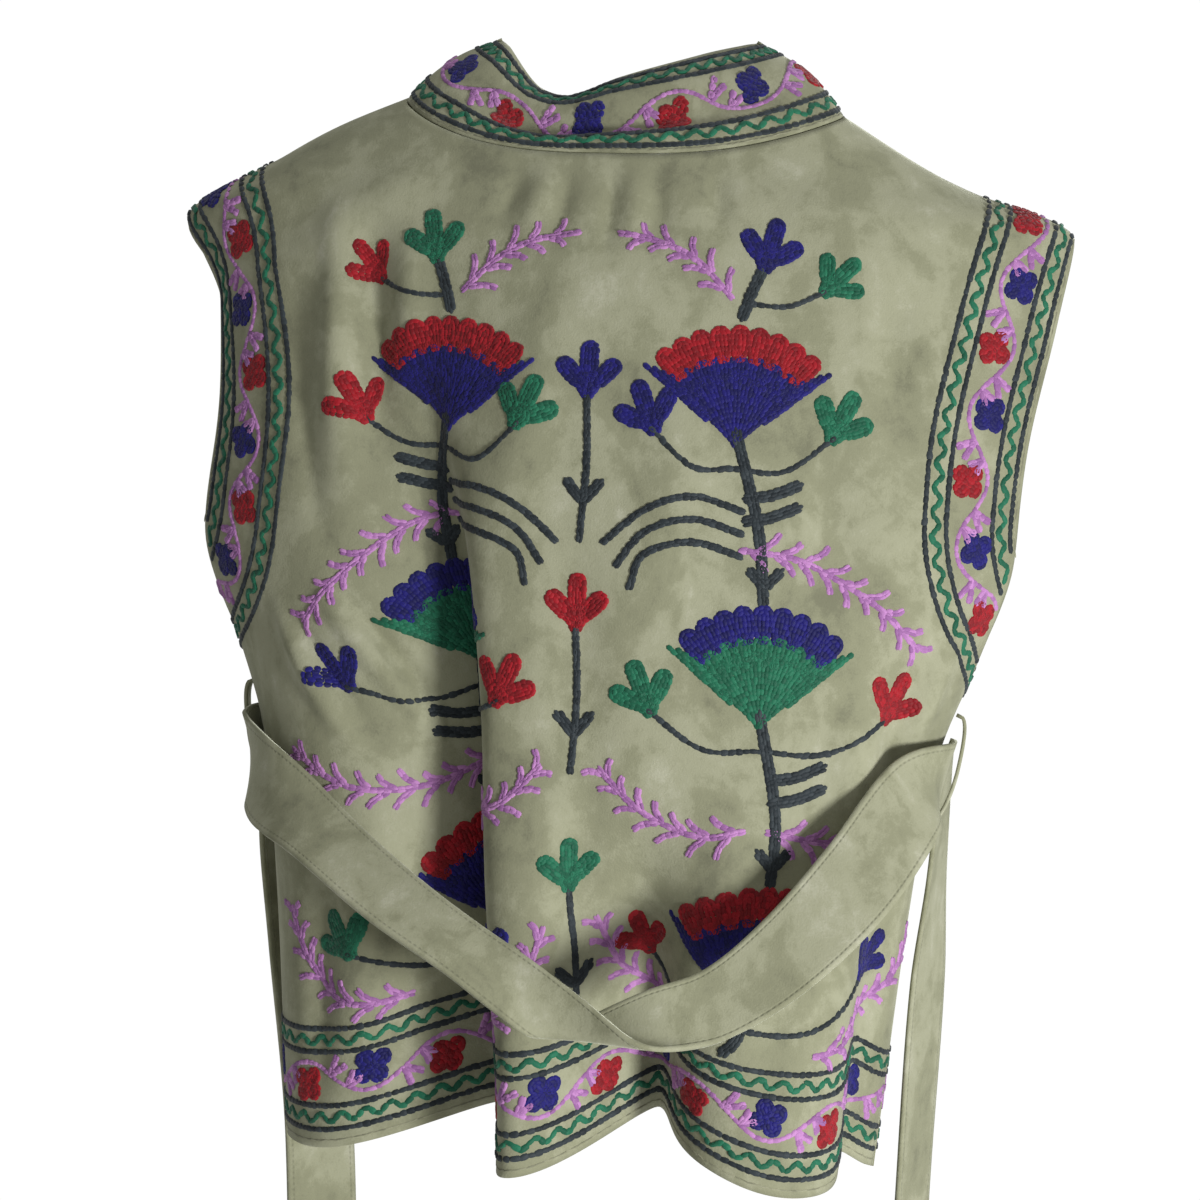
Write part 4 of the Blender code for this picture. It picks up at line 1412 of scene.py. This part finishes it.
for piece, cut in sheets:
    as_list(cut.rests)

studio = {
    "sky": 0.33,
    "keyPower": 44.0,
    "fillPower": 26.0,
    "topPower": 10.0,
    "floorLevel": -0.90,
    "floorRadius": 0.92,
}


def areaLight(name, place, aim, size, power):
    data = bpy.data.lights.new(name, "AREA")
    data.shape = "DISK"
    data.size = size
    data.energy = power
    light = bpy.data.objects.new(name, data)
    light.location = place
    light.rotation_mode = "QUATERNION"
    light.rotation_quaternion = (Vector(aim) - Vector(place)).to_track_quat("-Z", "Y")
    bpy.context.scene.collection.objects.link(light)


areaLight("keyLight", (1.50, -1.40, -0.75), (0, 0, -0.40), 0.5, studio["keyPower"])
areaLight("fillLight", (0.2, 2.1, 0.5), (0, 0, -0.3), 1.2, studio["fillPower"])
areaLight("topLight", (0.1, -0.2, 1.9), (0, 0, -0.3), 1.2, studio["topPower"])

world = bpy.data.worlds.new("studio")
world.use_nodes = True
bpy.context.scene.world = world
tree = world.node_tree
sky = tree.nodes["Background"]
sky.inputs["Color"].default_value = (1.0, 1.0, 1.0, 1.0)
seen = tree.nodes.new("ShaderNodeLightPath")
strength = maths(tree, "MULTIPLY_ADD", seen.outputs["Is Camera Ray"], 1.02 - studio["sky"], studio["sky"])
tree.links.new(strength, sky.inputs["Strength"])

shape = bmesh.new()
bmesh.ops.create_circle(shape, cap_ends=True, segments=64, radius=studio["floorRadius"])
floorMesh = bpy.data.meshes.new("floor")
shape.to_mesh(floorMesh)
shape.free()
floorMaterial = bpy.data.materials.new("palePaper")
floorMaterial.use_nodes = True
floorTree = floorMaterial.node_tree
floorShader = floorTree.nodes["Principled BSDF"]
floorPlace = floorTree.nodes.new("ShaderNodeTexCoord")
grain = noise(floorTree, floorPlace.outputs["Object"], 60.0, 4.0)
paper = ramp(floorTree, grain, [(0.3, (0.80, 0.80, 0.79)), (0.7, (0.86, 0.86, 0.85))])
floorTree.links.new(paper, floorShader.inputs["Base Color"])
floorShader.inputs["Roughness"].default_value = 0.85
floorMesh.materials.append(floorMaterial)
floor = bpy.data.objects.new("floor", floorMesh)
floor.location = (0, 0, studio["floorLevel"])
bpy.context.scene.collection.objects.link(floor)

view = {"target": (-0.002, 0.0, -0.285), "distance": 1.35, "turn": 8.0, "roll": 2.6, "fieldHalf": 0.348}
cameraData = bpy.data.cameras.new("camera")
camera = bpy.data.objects.new("camera", cameraData)
bpy.context.scene.collection.objects.link(camera)
turn = math.radians(view["turn"])
out = Vector((math.sin(turn), -math.cos(turn), 0.0))
camera.location = Vector(view["target"]) + out * view["distance"]
camera.rotation_mode = "QUATERNION"
camera.rotation_quaternion = (-out).to_track_quat("-Z", "Y") @ Quaternion((0, 0, 1), math.radians(view["roll"]))
cameraData.angle = 2 * math.atan(view["fieldHalf"] / view["distance"])
cameraData.clip_start = 0.05
bpy.context.scene.camera = camera
bpy.context.scene.view_settings.view_transform = "Standard"
bpy.context.scene.view_settings.look = "None"
print("stage: camera and light set")
